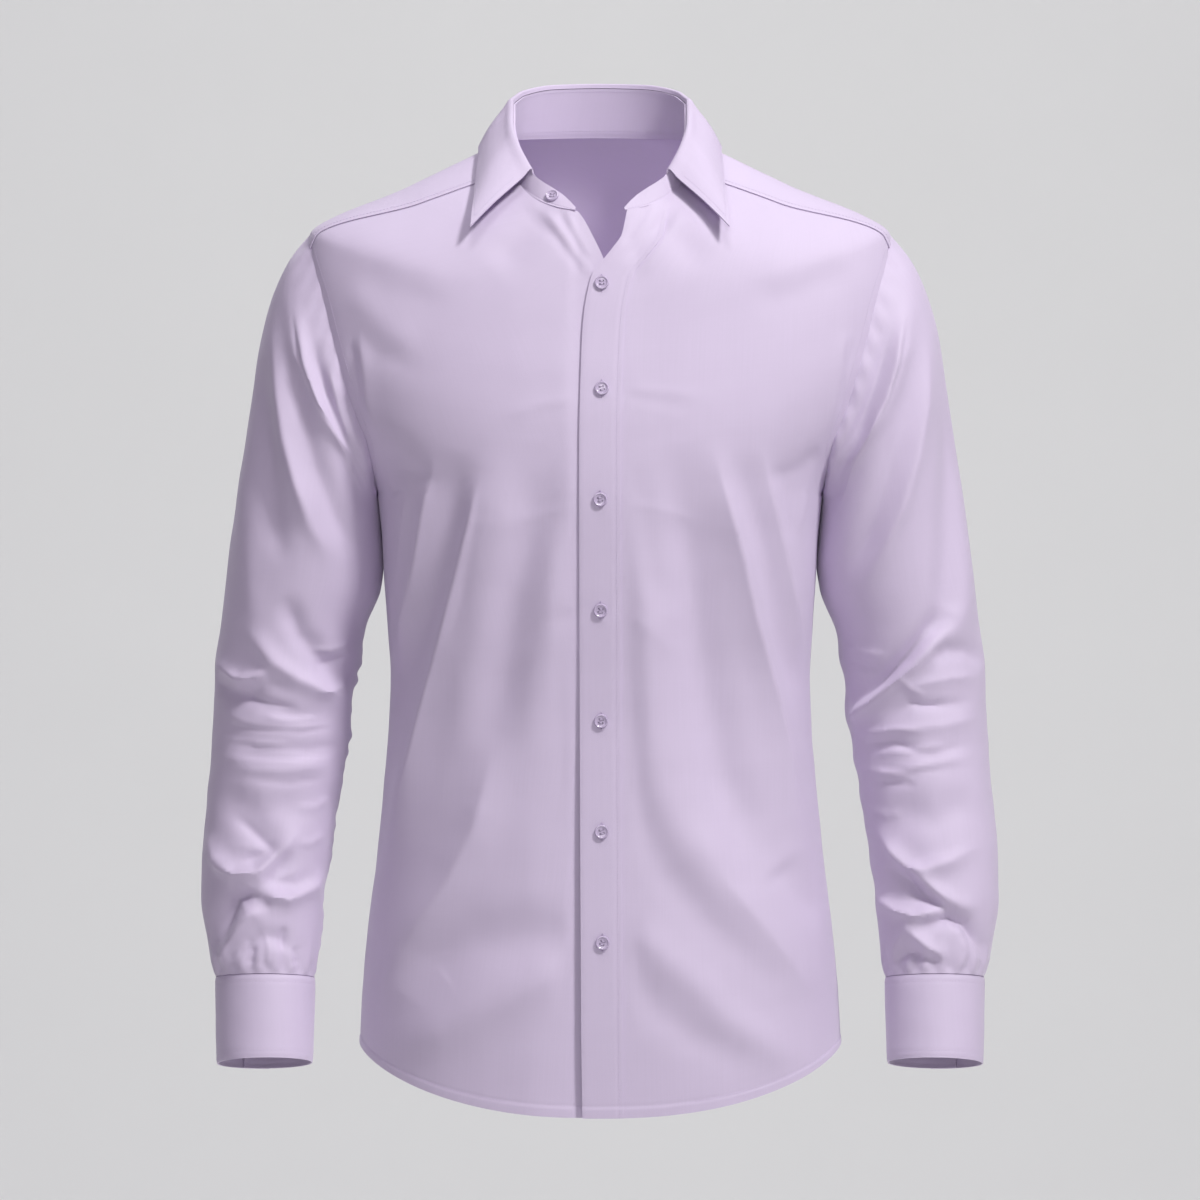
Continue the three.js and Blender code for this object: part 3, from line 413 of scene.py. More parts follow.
# Folds of the sleeves, by distance from the shirt's middle and height. Each sleeve has its own
# front; their backs are alike.
RIGHT_SLEEVE_FOLDS = [
    fold(8, 2.6, 0.4, (246, -118), (239, -172), (229, -199), (217, -222), (200, -246)),
    fold(8, 4, 0.5, (238, -128), (231, -179), (222, -205), (212, -226), (197, -250), (180, -280)),
    fold(9, -4.6, 0.2, (228, -150), (219, -196), (209, -226), (196, -252), (184, -276)),
    fold(13, 3.2, 0, (206, -140), (198, -190), (189, -226), (181, -256)),
    fold(9, 3.6, 0.4, (258, -146), (253, -202), (249, -235), (240, -272), (229, -305), (212, -334)),
    fold(12, -3.6, 0.1, (244, -160), (236, -214), (224, -260), (206, -300), (190, -330)),
    fold(12, -4, 0, (270, -170), (264, -240), (258, -292), (250, -340)),
    fold(12, 2.4, 0.1, (284, -200), (280, -280), (276, -350), (270, -400)),
    fold(10, 5, 0.3, (278, -384), (256, -414), (238, -427), (220, -435), (198, -442)),
    fold(11, -4.4, 0.1, (250, -360), (236, -392), (216, -414), (194, -424)),
    fold(8, -2.2, 0.4, (294, -432), (280, -440), (262, -449), (238, -455), (204, -458)),
    fold(8, 3, 0.5, (308, -406), (296, -418), (284, -426), (270, -425), (256, -418)),
    fold(8, -2, 0.5, (306, -424), (292, -436), (276, -438), (262, -430)),
    fold(7, 1.5, 0.5, (300, -448), (278, -462), (246, -466), (204, -462)),
    fold(7, -1.5, 0.5, (302, -468), (270, -480), (230, -482), (198, -478)),
    fold(7, 1.2, 0.5, (304, -486), (276, -492), (236, -492), (200, -486)),
    fold(16, -3, 0, (304, -516), (268, -530), (222, -524)),
    fold(14, -3.6, 0.1, (294, -528), (262, -552), (256, -566), (284, -574)),
    fold(9, 5, 0.5, (312, -548), (300, -568), (288, -580), (270, -580), (250, -560), (236, -544)),
    fold(9, 4.2, 0.4, (286, -584), (266, -596), (246, -600), (226, -590), (212, -576)),
    fold(10, -5.5, 0.3, (256, -604), (272, -596), (286, -598), (296, -618), (302, -646)),
    fold(9, -2.6, 0.2, (240, -560), (256, -584), (238, -590), (222, -580)),
    fold(9, 2.6, 0.3, (302, -654), (290, -630), (276, -612), (260, -610)),
    fold(8, -2.6, 0.3, (292, -656), (282, -640), (268, -630), (252, -630), (236, -642)),
]
RIGHT_SLEEVE_CREASES = [
    fold(4, 1.3, 1, (240, -136), (231, -184), (221, -210), (208, -232), (190, -260)),
    fold(4.5, -1.5, 0.9, (243, -132), (235, -176), (226, -203), (214, -224), (200, -244)),
    fold(4.5, 1.1, 0.9, (256, -160), (252, -205), (247, -240), (238, -276), (226, -308)),
    fold(4, 0.9, 0.8, (224, -200), (214, -226), (200, -250), (186, -282)),
    fold(4, 0.9, 0.8, (214, -180), (206, -214), (194, -246)),
    fold(4, 1.4, 0.9, (296, -418), (284, -427), (270, -425), (262, -419)),
    fold(4, -1.4, 0.8, (284, -436), (272, -442), (256, -446), (236, -450)),
    fold(3.5, 1.0, 0.9, (266, -456), (246, -459), (214, -456)),
    fold(3.5, -1.0, 0.9, (296, -462), (270, -466), (234, -468), (206, -464)),
    fold(3.5, 1.0, 0.9, (298, -472), (270, -477), (240, -479)),
    fold(3.5, -0.9, 0.9, (286, -486), (250, -489), (208, -486)),
    fold(4, 0.9, 0.8, (292, -497), (252, -499), (212, -495)),
    fold(4, -0.8, 0.8, (280, -505), (244, -508), (214, -504)),
    fold(5, -1.4, 0.6, (292, -532), (258, -560), (286, -573)),
    fold(4, 1.4, 0.9, (309, -561), (298, -576), (284, -582), (268, -578), (252, -562)),
    fold(4, -1.6, 0.9, (258, -601), (274, -594), (288, -600), (298, -626)),
    fold(4, 1.4, 0.9, (284, -586), (266, -598), (246, -601), (226, -590)),
    fold(4, 1.3, 0.9, (300, -654), (292, -634), (281, -617), (268, -608)),
    fold(4, 1.1, 0.9, (293, -656), (285, -642), (276, -632)),
    fold(4, -1.2, 0.7, (275, -652), (272, -636)),
    fold(4, -1.2, 0.7, (251, -640), (248, -620)),
    fold(4, -1.1, 0.7, (238, -652), (240, -636)),
    fold(4, 1.0, 0.8, (262, -654), (261, -638), (264, -624)),
    fold(3.5, 1.0, 0.9, (197, -398), (212, -404), (228, -404)),
    fold(3.5, -1.0, 0.9, (196, -408), (210, -414), (224, -416)),
    fold(3.5, 0.9, 0.9, (200, -430), (212, -436), (226, -436)),
    fold(3.5, 0.8, 0.9, (212, -520), (224, -528), (240, -528)),
    fold(3.5, 0.8, 0.9, (216, -548), (228, -556), (240, -556)),
]
LEFT_SLEEVE_FOLDS = [
    fold(8, 2.4, 0.4, (245, -122), (240, -168), (232, -198), (220, -224), (202, -250)),
    fold(8, 3.8, 0.5, (238, -132), (232, -176), (224, -206), (212, -232), (196, -258), (180, -286)),
    fold(11, -4.6, 0.2, (230, -140), (217, -190), (206, -230), (190, -266), (178, -296)),
    fold(9, 3.2, 0.4, (260, -150), (256, -210), (250, -250), (238, -292), (222, -330), (204, -362)),
    fold(12, -3.4, 0.1, (246, -168), (238, -222), (226, -270), (208, -318), (190, -350)),
    fold(13, -4.6, 0.1, (278, -190), (277, -260), (275, -320), (272, -366), (256, -404)),
    fold(11, 3, 0.2, (290, -240), (289, -310), (286, -366), (276, -400)),
    fold(9, -5, 0.3, (276, -372), (260, -388), (240, -410), (219, -430), (196, -448)),
    fold(9, 5.2, 0.5, (280, -382), (262, -398), (245, -417), (222, -438), (202, -454), (188, -462)),
    fold(9, -3.4, 0.3, (258, -412), (274, -404), (290, -404), (304, -416)),
    fold(7, 1.8, 0.5, (298, -424), (276, -426), (256, -430), (238, -434)),
    fold(7, -1.8, 0.5, (292, -444), (268, -447), (244, -446), (222, -460)),
    fold(7, 1.4, 0.5, (300, -456), (270, -464), (236, -466), (206, -472)),
    fold(7, -1.4, 0.5, (296, -474), (262, -486), (230, -476), (204, -486)),
    fold(7, 1.2, 0.5, (302, -484), (262, -494), (218, -500), (200, -498)),
    fold(16, -2.6, 0, (300, -520), (264, -536), (224, -528)),
    fold(9, 4.6, 0.5, (214, -540), (232, -562), (242, -575), (254, -578), (276, -570), (300, -556)),
    fold(9, 3.6, 0.4, (244, -574), (254, -584), (264, -594), (282, -606), (300, -606)),
    fold(8, -4, 0.4, (226, -570), (240, -581), (254, -596), (272, -607), (292, -612)),
    fold(9, 4, 0.4, (210, -588), (222, -600), (234, -609), (249, -614), (268, -609), (284, -600)),
    fold(8, -4.4, 0.4, (246, -624), (261, -619), (275, -614), (289, -620), (299, -636), (303, -650)),
    fold(8, 3, 0.4, (236, -618), (247, -628), (258, -638), (276, -650)),
    fold(7, -2.8, 0.3, (226, -652), (243, -642), (262, -648), (274, -656)),
]
LEFT_SLEEVE_CREASES = [
    fold(4, 1.2, 1, (239, -138), (232, -182), (224, -210), (210, -238), (190, -268)),
    fold(4.5, -1.3, 0.9, (243, -136), (236, -180), (228, -206), (216, -228)),
    fold(4.5, 1, 0.9, (258, -166), (255, -212), (248, -254), (236, -296), (222, -330)),
    fold(4, 0.9, 0.8, (222, -206), (212, -236), (198, -262), (186, -296)),
    fold(4, 1.6, 0.9, (266, -395), (246, -417), (223, -438), (206, -453), (192, -460)),
    fold(4, -1.6, 0.9, (262, -386), (242, -408), (220, -429), (200, -446)),
    fold(3.5, 1, 0.9, (236, -424), (244, -434), (256, -440)),
    fold(3.5, -1.1, 0.9, (240, -444), (256, -448), (274, -446)),
    fold(3.5, 0.9, 0.9, (204, -470), (232, -466), (258, -468)),
    fold(3.5, -0.9, 0.9, (206, -478), (232, -476), (254, -486)),
    fold(3.5, 0.9, 0.9, (212, -486), (240, -484), (276, -478)),
    fold(3.5, -0.8, 0.9, (214, -494), (246, -500), (282, -496)),
    fold(4, 0.9, 0.8, (216, -502), (240, -500), (262, -493)),
    fold(3.5, -0.8, 0.8, (222, -508), (250, -510)),
    fold(4, 1.3, 0.9, (226, -554), (234, -566), (243, -575), (256, -578)),
    fold(4, 1.1, 0.9, (252, -582), (262, -592), (274, -603)),
    fold(4, -1.3, 0.9, (238, -579), (254, -596), (271, -607)),
    fold(4, 1.2, 0.9, (221, -599), (234, -609), (250, -614), (267, -609)),
    fold(4, -1.4, 0.9, (260, -618), (274, -614), (288, -620), (298, -636)),
    fold(4, 1.1, 0.9, (245, -626), (257, -637), (272, -647)),
    fold(4, 1.1, 0.9, (230, -650), (233, -636), (240, -624)),
    fold(4, -1.1, 0.7, (226, -652), (244, -642), (262, -648)),
    fold(4, 1, 0.8, (284, -656), (288, -642), (286, -630)),
    fold(3.5, 0.9, 0.9, (194, -400), (208, -406), (224, -408)),
    fold(3.5, -0.9, 0.9, (196, -412), (210, -418), (222, -418)),
    fold(3.5, 0.8, 0.9, (210, -528), (226, -534), (238, -532)),
]
SLEEVE_FOLDS_BACK = [
    fold(16, -4, 0, (230, -130), (218, -190), (204, -240)),
    fold(14, 4, 0, (262, -150), (250, -210), (236, -270), (222, -320)),
    fold(14, -4, 0, (284, -230), (272, -300), (254, -350)),
    fold(13, 4.5, 0.1, (300, -400), (270, -414), (230, -410), (200, -404)),
    fold(13, -4.5, 0, (298, -430), (262, -440), (216, -432)),
    fold(13, 4, 0.1, (302, -462), (266, -470), (214, -458)),
    fold(14, -4, 0, (306, -520), (270, -548), (226, -536)),
    fold(13, 4, 0.1, (308, -578), (276, -598), (232, -584)),
]
SLEEVE_CREASES_BACK = [
    fold(5, 1.3, 0.8, (256, -140), (246, -190), (232, -236)),
    fold(5, -1.2, 0.7, (268, -150), (260, -200), (250, -250)),
    fold(5, 1.4, 0.8, (296, -420), (268, -426), (236, -420)),
    fold(5, -1.3, 0.8, (300, -444), (272, -454), (230, -446)),
    fold(5, 1.2, 0.8, (298, -480), (264, -488), (222, -478)),
    fold(5, 1.3, 0.8, (304, -560), (286, -574), (262, -578)),
    fold(5, -1.4, 0.7, (300, -604), (280, -612), (254, -606)),
    fold(5, 1.2, 0.7, (298, -648), (292, -628), (286, -612)),
    fold(5, 1.2, 0.7, (246, -650), (250, -632), (256, -618)),
]


SLEEVE_FOLDS = {
    1: (LEFT_SLEEVE_FOLDS, LEFT_SLEEVE_CREASES),
    -1: (RIGHT_SLEEVE_FOLDS, RIGHT_SLEEVE_CREASES),
}


def fold_depth(one, x, z):
    """How far one fold moves the cloth: full depth on its line, fading to its sides and ends."""
    points = one["points"]
    wide = one["half_width"]
    reach = 2.6 * wide
    low = points.min(axis=0) - reach
    high = points.max(axis=0) + reach
    near = (x > low[0]) & (x < high[0]) & (z > low[1]) & (z < high[1])
    result = np.zeros(np.shape(x))
    if not near.any():
        return result
    nx = x[near]
    nz = z[near]
    best = np.full(nx.shape, 1e9)
    along = np.zeros(nx.shape)
    count = len(points) - 1
    for i in range(count):
        start = points[i]
        step = points[i + 1] - start
        t = np.clip(((nx - start[0]) * step[0] + (nz - start[1]) * step[1]) / (step @ step), 0, 1)
        away = np.hypot(nx - start[0] - t * step[0], nz - start[1] - t * step[1])
        closer = away < best
        best = np.where(closer, away, best)
        along = np.where(closer, (i + t) / count, along)
    away = best / wide
    taper = smoothstep(along, -0.04, 0.24) * (1 - smoothstep(along, 0.7, 1.05))
    soft = np.exp(-1.4 * away**2)
    sharp = np.exp(-1.6 * (np.sqrt(away**2 + 0.02) - math.sqrt(0.02)))
    result[near] = taper * lerp(soft, sharp, one["crisp"]) * one["depth"]
    return result


def fold_sum(folds, x, z):
    total = np.zeros(np.shape(x))
    for one in folds:
        total += fold_depth(one, x, z)
    return total


def ripple(x, y, z, size, seed):
    """Gentle unevenness of cloth: a few slanted waves of unlike length, between -1 and 1."""
    chance = np.random.default_rng(seed)
    total = np.zeros(np.shape(x))
    for _ in range(7):
        turn = chance.uniform(0, 2 * np.pi)
        lean = chance.uniform(-0.6, 0.6)
        length = size * chance.uniform(0.6, 1.7)
        phase = chance.uniform(0, 2 * np.pi)
        way = np.cos(turn) * x + np.sin(turn) * z + lean * y
        total += np.sin(2 * np.pi * way / length + phase)
    return total / 7


def seen_from_front(points):
    nearness = 1 + points[..., 1] / EYE_DISTANCE
    return points[..., 0] / nearness, EYE_Z + (points[..., 2] - EYE_Z) / nearness


def body_fold(degrees, level):
    """How far the body's cloth is moved out or in by its folds; nothing close to its seams."""
    point = body_point(degrees, level)
    normal = body_normal(degrees, level)
    x, y, z = point[..., 0], point[..., 1], point[..., 2]
    facing = smoothstep(np.abs(normal[..., 1]), 0.25, 0.6)
    seen_x, seen_z = seen_from_front(point)
    from_band = smoothstep(np.abs(x), 18, 40)
    band_crease = smoothstep(np.abs(x), 14, 26)
    to_armhole = armhole_x(z) - np.abs(x)
    below = smoothstep(level, UNDERARM, UNDERARM + 0.7)
    in_seam = np.maximum(smoothstep(to_armhole, 0, 26), below)
    near_seam = np.maximum(smoothstep(to_armhole, 0, 14), below)
    open_neck = smoothstep(seen_z, -120, -104)
    front = FOLD_DEPTH * fold_sum(FRONT_FOLDS, seen_x, seen_z) * from_band * in_seam
    fine_fade = np.maximum(band_crease, open_neck) * near_seam
    front = front + CREASE_DEPTH * fold_sum(FRONT_CREASES, seen_x, seen_z) * fine_fade
    from_yoke = smoothstep(level, BACK_SEAM, BACK_SEAM + 0.8)
    below_yoke = smoothstep(level, BACK_SEAM, BACK_SEAM + 0.4) * near_seam
    back = BACK_FOLD_DEPTH * fold_sum(BACK_FOLDS, x, z) * from_yoke
    back = back + CREASE_DEPTH * fold_sum(BACK_CREASES, x, z) * below_yoke
    uneven = 0.8 * ripple(x, y, z, 90, 4) + 0.25 * ripple(x, y, z, 26, 9)
    calm = smoothstep(level, 0.1, 0.8) * np.where(np.abs(x) < 26, 0.3, 1.0)
    # The body's sides give way a little where the sleeves rest against them
    pressed = -0.8 * smoothstep(np.abs(normal[..., 0]), 0.8, 0.97) * np.exp(-(((z + 318) / 34) ** 2))
    folds = np.where(normal[..., 1] < 0, front, back) * facing
    return folds + (uneven * calm + pressed) * near_seam


def cloth_point(degrees, level, out=0.0):
    away = body_fold(degrees, level) + np.asarray(out, float)
    return body_point(degrees, level) + body_normal(degrees, level) * away[..., None]


# Making meshes
def grid_normals(grid, closed_round):
    if closed_round:
        across = np.roll(grid, -1, axis=1) - np.roll(grid, 1, axis=1)
    else:
        across = np.gradient(grid, axis=1)
    return unit(np.cross(np.gradient(grid, axis=0), across))


def grid_uv(grid, closed_round):
    """Flat cloth coordinates in metres: along the rows from their first column, and down the middle."""
    steps = np.linalg.norm(np.diff(grid, axis=1), axis=-1)
    across = np.concatenate([np.zeros((len(grid), 1)), np.cumsum(steps, axis=1)], axis=1)
    middle = grid[:, grid.shape[1] // 2]
    down = np.concatenate([[0], np.cumsum(np.linalg.norm(np.diff(middle, axis=0), axis=-1))])
    if closed_round:
        across = across * (across.mean(axis=0)[-1] / across[:, -1:])
    return across * MM, np.repeat(down[:, None], grid.shape[1], axis=1) * MM


def place_object(name, data):
    made = bpy.data.objects.new(name, data)
    bpy.context.scene.collection.objects.link(made)
    return made


def new_mesh_object(name, points, faces, smooth_angle=50):
    mesh = bpy.data.meshes.new(name)
    mesh.from_pydata([tuple(p) for p in np.asarray(points) * MM], [], [tuple(f) for f in faces])
    mesh.update()
    mesh.shade_smooth()
    mesh.set_sharp_from_angle(angle=math.radians(smooth_angle))
    return place_object(name, mesh)


def wall(name, grid, thickness, closed_round=False):
    """A wall of cloth under a grid of outer points, with flat cloth coordinates."""
    rows, columns = grid.shape[:2]
    normals = grid_normals(grid, closed_round)
    points = np.concatenate([grid.reshape(-1, 3), (grid - normals * thickness).reshape(-1, 3)])
    index = np.arange(rows * columns).reshape(rows, columns)
    if closed_round:
        index = np.concatenate([index, index[:, :1]], axis=1)
    under = index + rows * columns
    quads = [
        np.stack([index[:-1, :-1], index[1:, :-1], index[1:, 1:], index[:-1, 1:]], -1).reshape(-1, 4),
        np.stack([under[:-1, :-1], under[:-1, 1:], under[1:, 1:], under[1:, :-1]], -1).reshape(-1, 4),
        np.stack([index[0, :-1], index[0, 1:], under[0, 1:], under[0, :-1]], -1),
        np.stack([index[-1, 1:], index[-1, :-1], under[-1, :-1], under[-1, 1:]], -1),
    ]
    if not closed_round:
        quads.append(np.stack([index[1:, 0], index[:-1, 0], under[:-1, 0], under[1:, 0]], -1))
        quads.append(np.stack([index[:-1, -1], index[1:, -1], under[1:, -1], under[:-1, -1]], -1))
    quads = np.concatenate(quads)
    made = new_mesh_object(name, points, quads)
    across, down = grid_uv(grid, closed_round)
    uv = np.concatenate([np.stack([across, down], -1).reshape(-1, 2)] * 2)
    corners = uv[quads.reshape(-1)]
    if closed_round:
        each = corners[:, 0].reshape(-1, 4)
        girth = across.max() + (across[:, 1] - across[:, 0]).mean()
        wraps = each.max(axis=1) - each.min(axis=1) > girth / 2
        each[wraps] = np.where(each[wraps] < girth / 2, each[wraps] + girth, each[wraps])
        corners[:, 0] = each.reshape(-1)
    layer = made.data.uv_layers.new(name="cloth")
    layer.data.foreach_set("uv", corners.astype(np.float32).reshape(-1))
    return made


# Finishes
CLOTH_COLOUR = (0.625, 0.535, 0.715, 1)
THREAD_COLOUR = (0.62, 0.53, 0.72, 1)
BUTTON_COLOUR = (0.56, 0.47, 0.66, 1)


def new_group(name, inputs, outputs):
    group = bpy.data.node_groups.new(name, "ShaderNodeTree")
    for label, kind, value in inputs:
        socket = group.interface.new_socket(label, in_out="INPUT", socket_type=kind)
        if value is not None:
            socket.default_value = value
    for label, kind in outputs:
        group.interface.new_socket(label, in_out="OUTPUT", socket_type=kind)
    return group, group.nodes.new("NodeGroupInput"), group.nodes.new("NodeGroupOutput")


def node(tree, kind, inputs=None, **settings):
    made = tree.nodes.new(kind)
    for name, value in settings.items():
        setattr(made, name, value)
    for key, value in (inputs or {}).items():
        if isinstance(value, bpy.types.NodeSocket):
            tree.links.new(value, made.inputs[key])
        else:
            made.inputs[key].default_value = value
    return made


def calculated(tree, operation, *inputs):
    """What a math node gives for its inputs."""
    return node(tree, "ShaderNodeMath", dict(enumerate(inputs)), operation=operation).outputs[0]


def poplin_weave():
    """Fine plain weave with slubs: uneven threads that run down and across the cloth."""
    group, given, result = new_group(
        "poplin_weave",
        [
            ("Colour", "NodeSocketColor", CLOTH_COLOUR),
            ("Thread", "NodeSocketFloat", 0.0004),
            ("Slub", "NodeSocketFloat", 0.04),
        ],
        [("Colour", "NodeSocketColor"), ("Height", "NodeSocketFloat"), ("Roughness", "NodeSocketFloat")],
    )
    place = node(group, "ShaderNodeUVMap", uv_map="cloth")
    parts = node(group, "ShaderNodeSeparateXYZ", {0: place.outputs["UV"]})
    turns = calculated(group, "DIVIDE", 2 * math.pi, given.outputs["Thread"])
    waves = []
    for axis in ("X", "Y"):
        scaled = calculated(group, "MULTIPLY", parts.outputs[axis], turns)
        waves.append(calculated(group, "SINE", scaled))
    both = calculated(group, "MULTIPLY", *waves)
    slubs = []
    for stretch in ((900.0, 14.0, 1.0), (12.0, 700.0, 1.0)):
        stretched = node(group, "ShaderNodeMapping", {"Vector": place.outputs["UV"], "Scale": stretch})
        inputs = {"Vector": stretched.outputs[0], "Scale": 1.0, "Detail": 2.0}
        noise = node(group, "ShaderNodeTexNoise", inputs)
        slubs.append(calculated(group, "SUBTRACT", noise.outputs[0], 0.5))
    less = calculated(group, "MULTIPLY", slubs[1], 0.45)
    uneven = calculated(group, "ADD", slubs[0], less)
    tone = calculated(group, "MULTIPLY", uneven, given.outputs["Slub"])
    thread_tone = calculated(group, "MULTIPLY_ADD", both, 0.012, 1.0)
    shade = calculated(group, "MULTIPLY_ADD", tone, 4.0, thread_tone)
    inputs = {0: given.outputs["Colour"], "Scale": shade}
    coloured = node(group, "ShaderNodeVectorMath", inputs, operation="SCALE")
    height = calculated(group, "MULTIPLY_ADD", uneven, 1.2, both)
    rough = calculated(group, "MULTIPLY_ADD", uneven, 0.25, 0.58)
    group.links.new(coloured.outputs["Vector"], result.inputs["Colour"])
    group.links.new(height, result.inputs["Height"])
    group.links.new(rough, result.inputs["Roughness"])
    return group


WEAVE = poplin_weave()


def new_material(name):
    material = bpy.data.materials.new(name)
    material.use_nodes = True
    return material, material.node_tree, material.node_tree.nodes["Principled BSDF"]


def drifting_tint(tree, shader, scale, detail, darker, lighter):
    """A base colour that drifts between two close tones."""
    place = node(tree, "ShaderNodeTexCoord")
    inputs = {"Vector": place.outputs["Object"], "Scale": scale, "Detail": detail}
    cloud = node(tree, "ShaderNodeTexNoise", inputs)
    tint = node(tree, "ShaderNodeValToRGB", {0: cloud.outputs[0]})
    tint.color_ramp.elements[0].color = darker
    tint.color_ramp.elements[1].color = lighter
    tree.links.new(tint.outputs[0], shader.inputs["Base Color"])


def darkened(colour, share):
    return tuple(part * share for part in colour[:3]) + (1,)


def cotton(name, colour, slub, sheen, bump):
    material, tree, shader = new_material(name)
    weave = node(tree, "ShaderNodeGroup", node_tree=WEAVE)
    weave.inputs["Colour"].default_value = colour
    weave.inputs["Slub"].default_value = slub
    inputs = {"Height": weave.outputs["Height"], "Strength": bump, "Distance": 0.00006}
    raised = node(tree, "ShaderNodeBump", inputs)
    tree.links.new(weave.outputs["Colour"], shader.inputs["Base Color"])
    tree.links.new(weave.outputs["Roughness"], shader.inputs["Roughness"])
    tree.links.new(raised.outputs["Normal"], shader.inputs["Normal"])
    shader.inputs["Specular IOR Level"].default_value = 0.5
    shader.inputs["Sheen Weight"].default_value = sheen
    shader.inputs["Sheen Roughness"].default_value = 0.45
    shader.inputs["Sheen Tint"].default_value = (0.93, 0.88, 1.0, 1)
    return material


def thread(name, colour):
    material, tree, shader = new_material(name)
    drifting_tint(tree, shader, 900.0, 2.0, darkened(colour, 0.86), colour)
    shader.inputs["Roughness"].default_value = 0.5
    shader.inputs["Sheen Weight"].default_value = 0.2
    return material


def button_resin(name, colour):
    material, tree, shader = new_material(name)
    drifting_tint(tree, shader, 260.0, 3.0, darkened(colour, 0.9), colour)
    shader.inputs["Roughness"].default_value = 0.22
    shader.inputs["Coat Weight"].default_value = 0.4
    shader.inputs["Coat Roughness"].default_value = 0.12
    return material


SHIRT_COTTON = cotton("shirt_cotton", CLOTH_COLOUR, 0.014, 0.35, 0.4)
BAND_COTTON = cotton("band_cotton", CLOTH_COLOUR, 0.012, 0.35, 0.35)
SEWING_THREAD = thread("sewing_thread", THREAD_COLOUR)
BUTTON_RESIN = button_resin("button_resin", BUTTON_COLOUR)

SEAMS = []


def finish_piece(made, material, slot, *nodes):
    made.data.materials.append(material)
    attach(made, "root")
    if nodes:
        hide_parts(*nodes)
    return made


def spread(inner, outer, side, cells):
    """Columns from an inner angle to an outer one; the armhole's curve moves only those near it."""
    share = np.linspace(0, 1, cells + 1)
    inner = np.asarray(inner)[:, None]
    outer = np.asarray(outer)[:, None]
    return lerp(inner, side, share) - (side - outer) * share**2.5


def level_rows(start, end, spacing, extra_at_end=0.0):
    """Levels about a given distance apart down the body's front, closer together at the far end."""
    fine = np.linspace(start, end, 400)
    points = body_point(np.full(400, ROW_LINE), fine)
    length = np.concatenate([[0], np.cumsum(np.linalg.norm(np.diff(points, axis=0), axis=-1))])
    count = int(length[-1] / spacing)
    at = np.linspace(0, length[-1], count + 1)
    if extra_at_end:
        closer_from = length[-1] - extra_at_end
        at = np.concatenate([at[at < closer_from], np.arange(closer_from, length[-1], 1.0), [length[-1]]])
    return np.interp(at, length, fine)


def degrees_for(distance, degrees, level):
    """The degrees that a distance takes round the body at a place."""
    reach = np.linalg.norm(body_point(degrees + 0.5, level) - body_point(degrees - 0.5, level), axis=-1)
    return distance / reach


FRONT_LEVELS = level_rows(0, HEM, 2.8, 14)
BACK_LEVELS = level_rows(BACK_SEAM, HEM, 3.6, 14)


def hem_turn(level):
    """The turned hem: a raised band a few millimetres wide, drawn in along its stitching."""
    point = body_point(np.full(level.shape, ROW_LINE), level)
    low = body_point(np.full(level.shape, ROW_LINE), np.full(level.shape, float(HEM)))
    from_edge = np.linalg.norm(point - low, axis=-1)
    band = 0.5 * smoothstep(HEM_WIDTH + 1.5 - from_edge, 0, 2)
    groove = -0.45 * np.exp(-(((from_edge - HEM_WIDTH) / 1.2) ** 2))
    return band + groove


def front_outer(level):
    seam = 90 - yoke_seam_degrees(level)
    at_armhole = np.minimum(armhole_degrees(level, True), seam)
    return np.where(level >= UNDERARM, 90, np.where(level <= FRONT_CORNER, seam, at_armhole))


def build_fronts():
    level = FRONT_LEVELS
    rows = level[:, None]
    left = edge_degrees(level, left_edge_x)
    inner = edge_degrees(level, left_edge_x, PLACKET_WIDTH)
    right = edge_degrees(level, right_edge_x)
    outer = front_outer(level)
    beside_yoke = level <= FRONT_CORNER
    tucked = outer + np.where(beside_yoke, degrees_for(SEAM_ALLOWANCE, outer, level), 0)
    share = np.linspace(0, 1, BAND_COLUMNS)

    def front_wall(name, node_name, degrees, away, out):
        past_seam = smoothstep(away, outer[:, None] - 0.5, outer[:, None] + 1.0)
        under_yoke = -0.9 * past_seam * beside_yoke[:, None]
        grid = cloth_point(degrees, rows + 0 * degrees, hem_turn(level)[:, None] + under_yoke + out)
        made = wall(name, grid, CLOTH)
        finish_piece(made, SHIRT_COTTON, "shirt_cloth", node_name)
        return grid

    band = lerp(left[:, None], inner[:, None], share)
    body = spread(inner, tucked, 90, 96)[:, 1:]
    degrees = np.concatenate([band, body], axis=1)
    grid = front_wall("left_front_cloth", "front_left", degrees, degrees, 0.0)
    build_placket(grid[:, :BAND_COLUMNS], grid_normals(grid, False)[:, :BAND_COLUMNS])
    # The right front lies under the left one, and deeper behind the band toward the hem.
    start = np.minimum(left, right - 12)
    band = lerp(start[:, None], right[:, None], share)
    body = spread(start, -tucked, -90, 96)[:, ::-1]
    degrees = np.concatenate([body, band[:, 1:]], axis=1)
    x = body_point(degrees, rows + 0 * degrees)[..., 0]
    deeper = 0.2 + 3.6 * smoothstep(rows, 8, 13)
    under = -UNDERLAP * smoothstep(x, -25, -16.5) - deeper * smoothstep(x, -58, -14)
    front_wall("right_front_cloth", "front_right", degrees, -degrees, under)
    hem_line = level_at_hem_distance(HEM_WIDTH)
    for side in (1, -1):
        across = np.linspace(20 if side > 0 else -88, 88 if side > 0 else -20, 160)
        SEAMS.append(cloth_point(across, np.full(160, hem_line), 0.15))


def level_at_hem_distance(distance):
    line = np.array(ROW_LINE)
    low = body_point(line, np.array(float(HEM)))

    def past(back):
        return np.linalg.norm(body_point(line, np.array(HEM - back)) - low) - distance

    return HEM - float(crossing(0.0, 1.0, past))


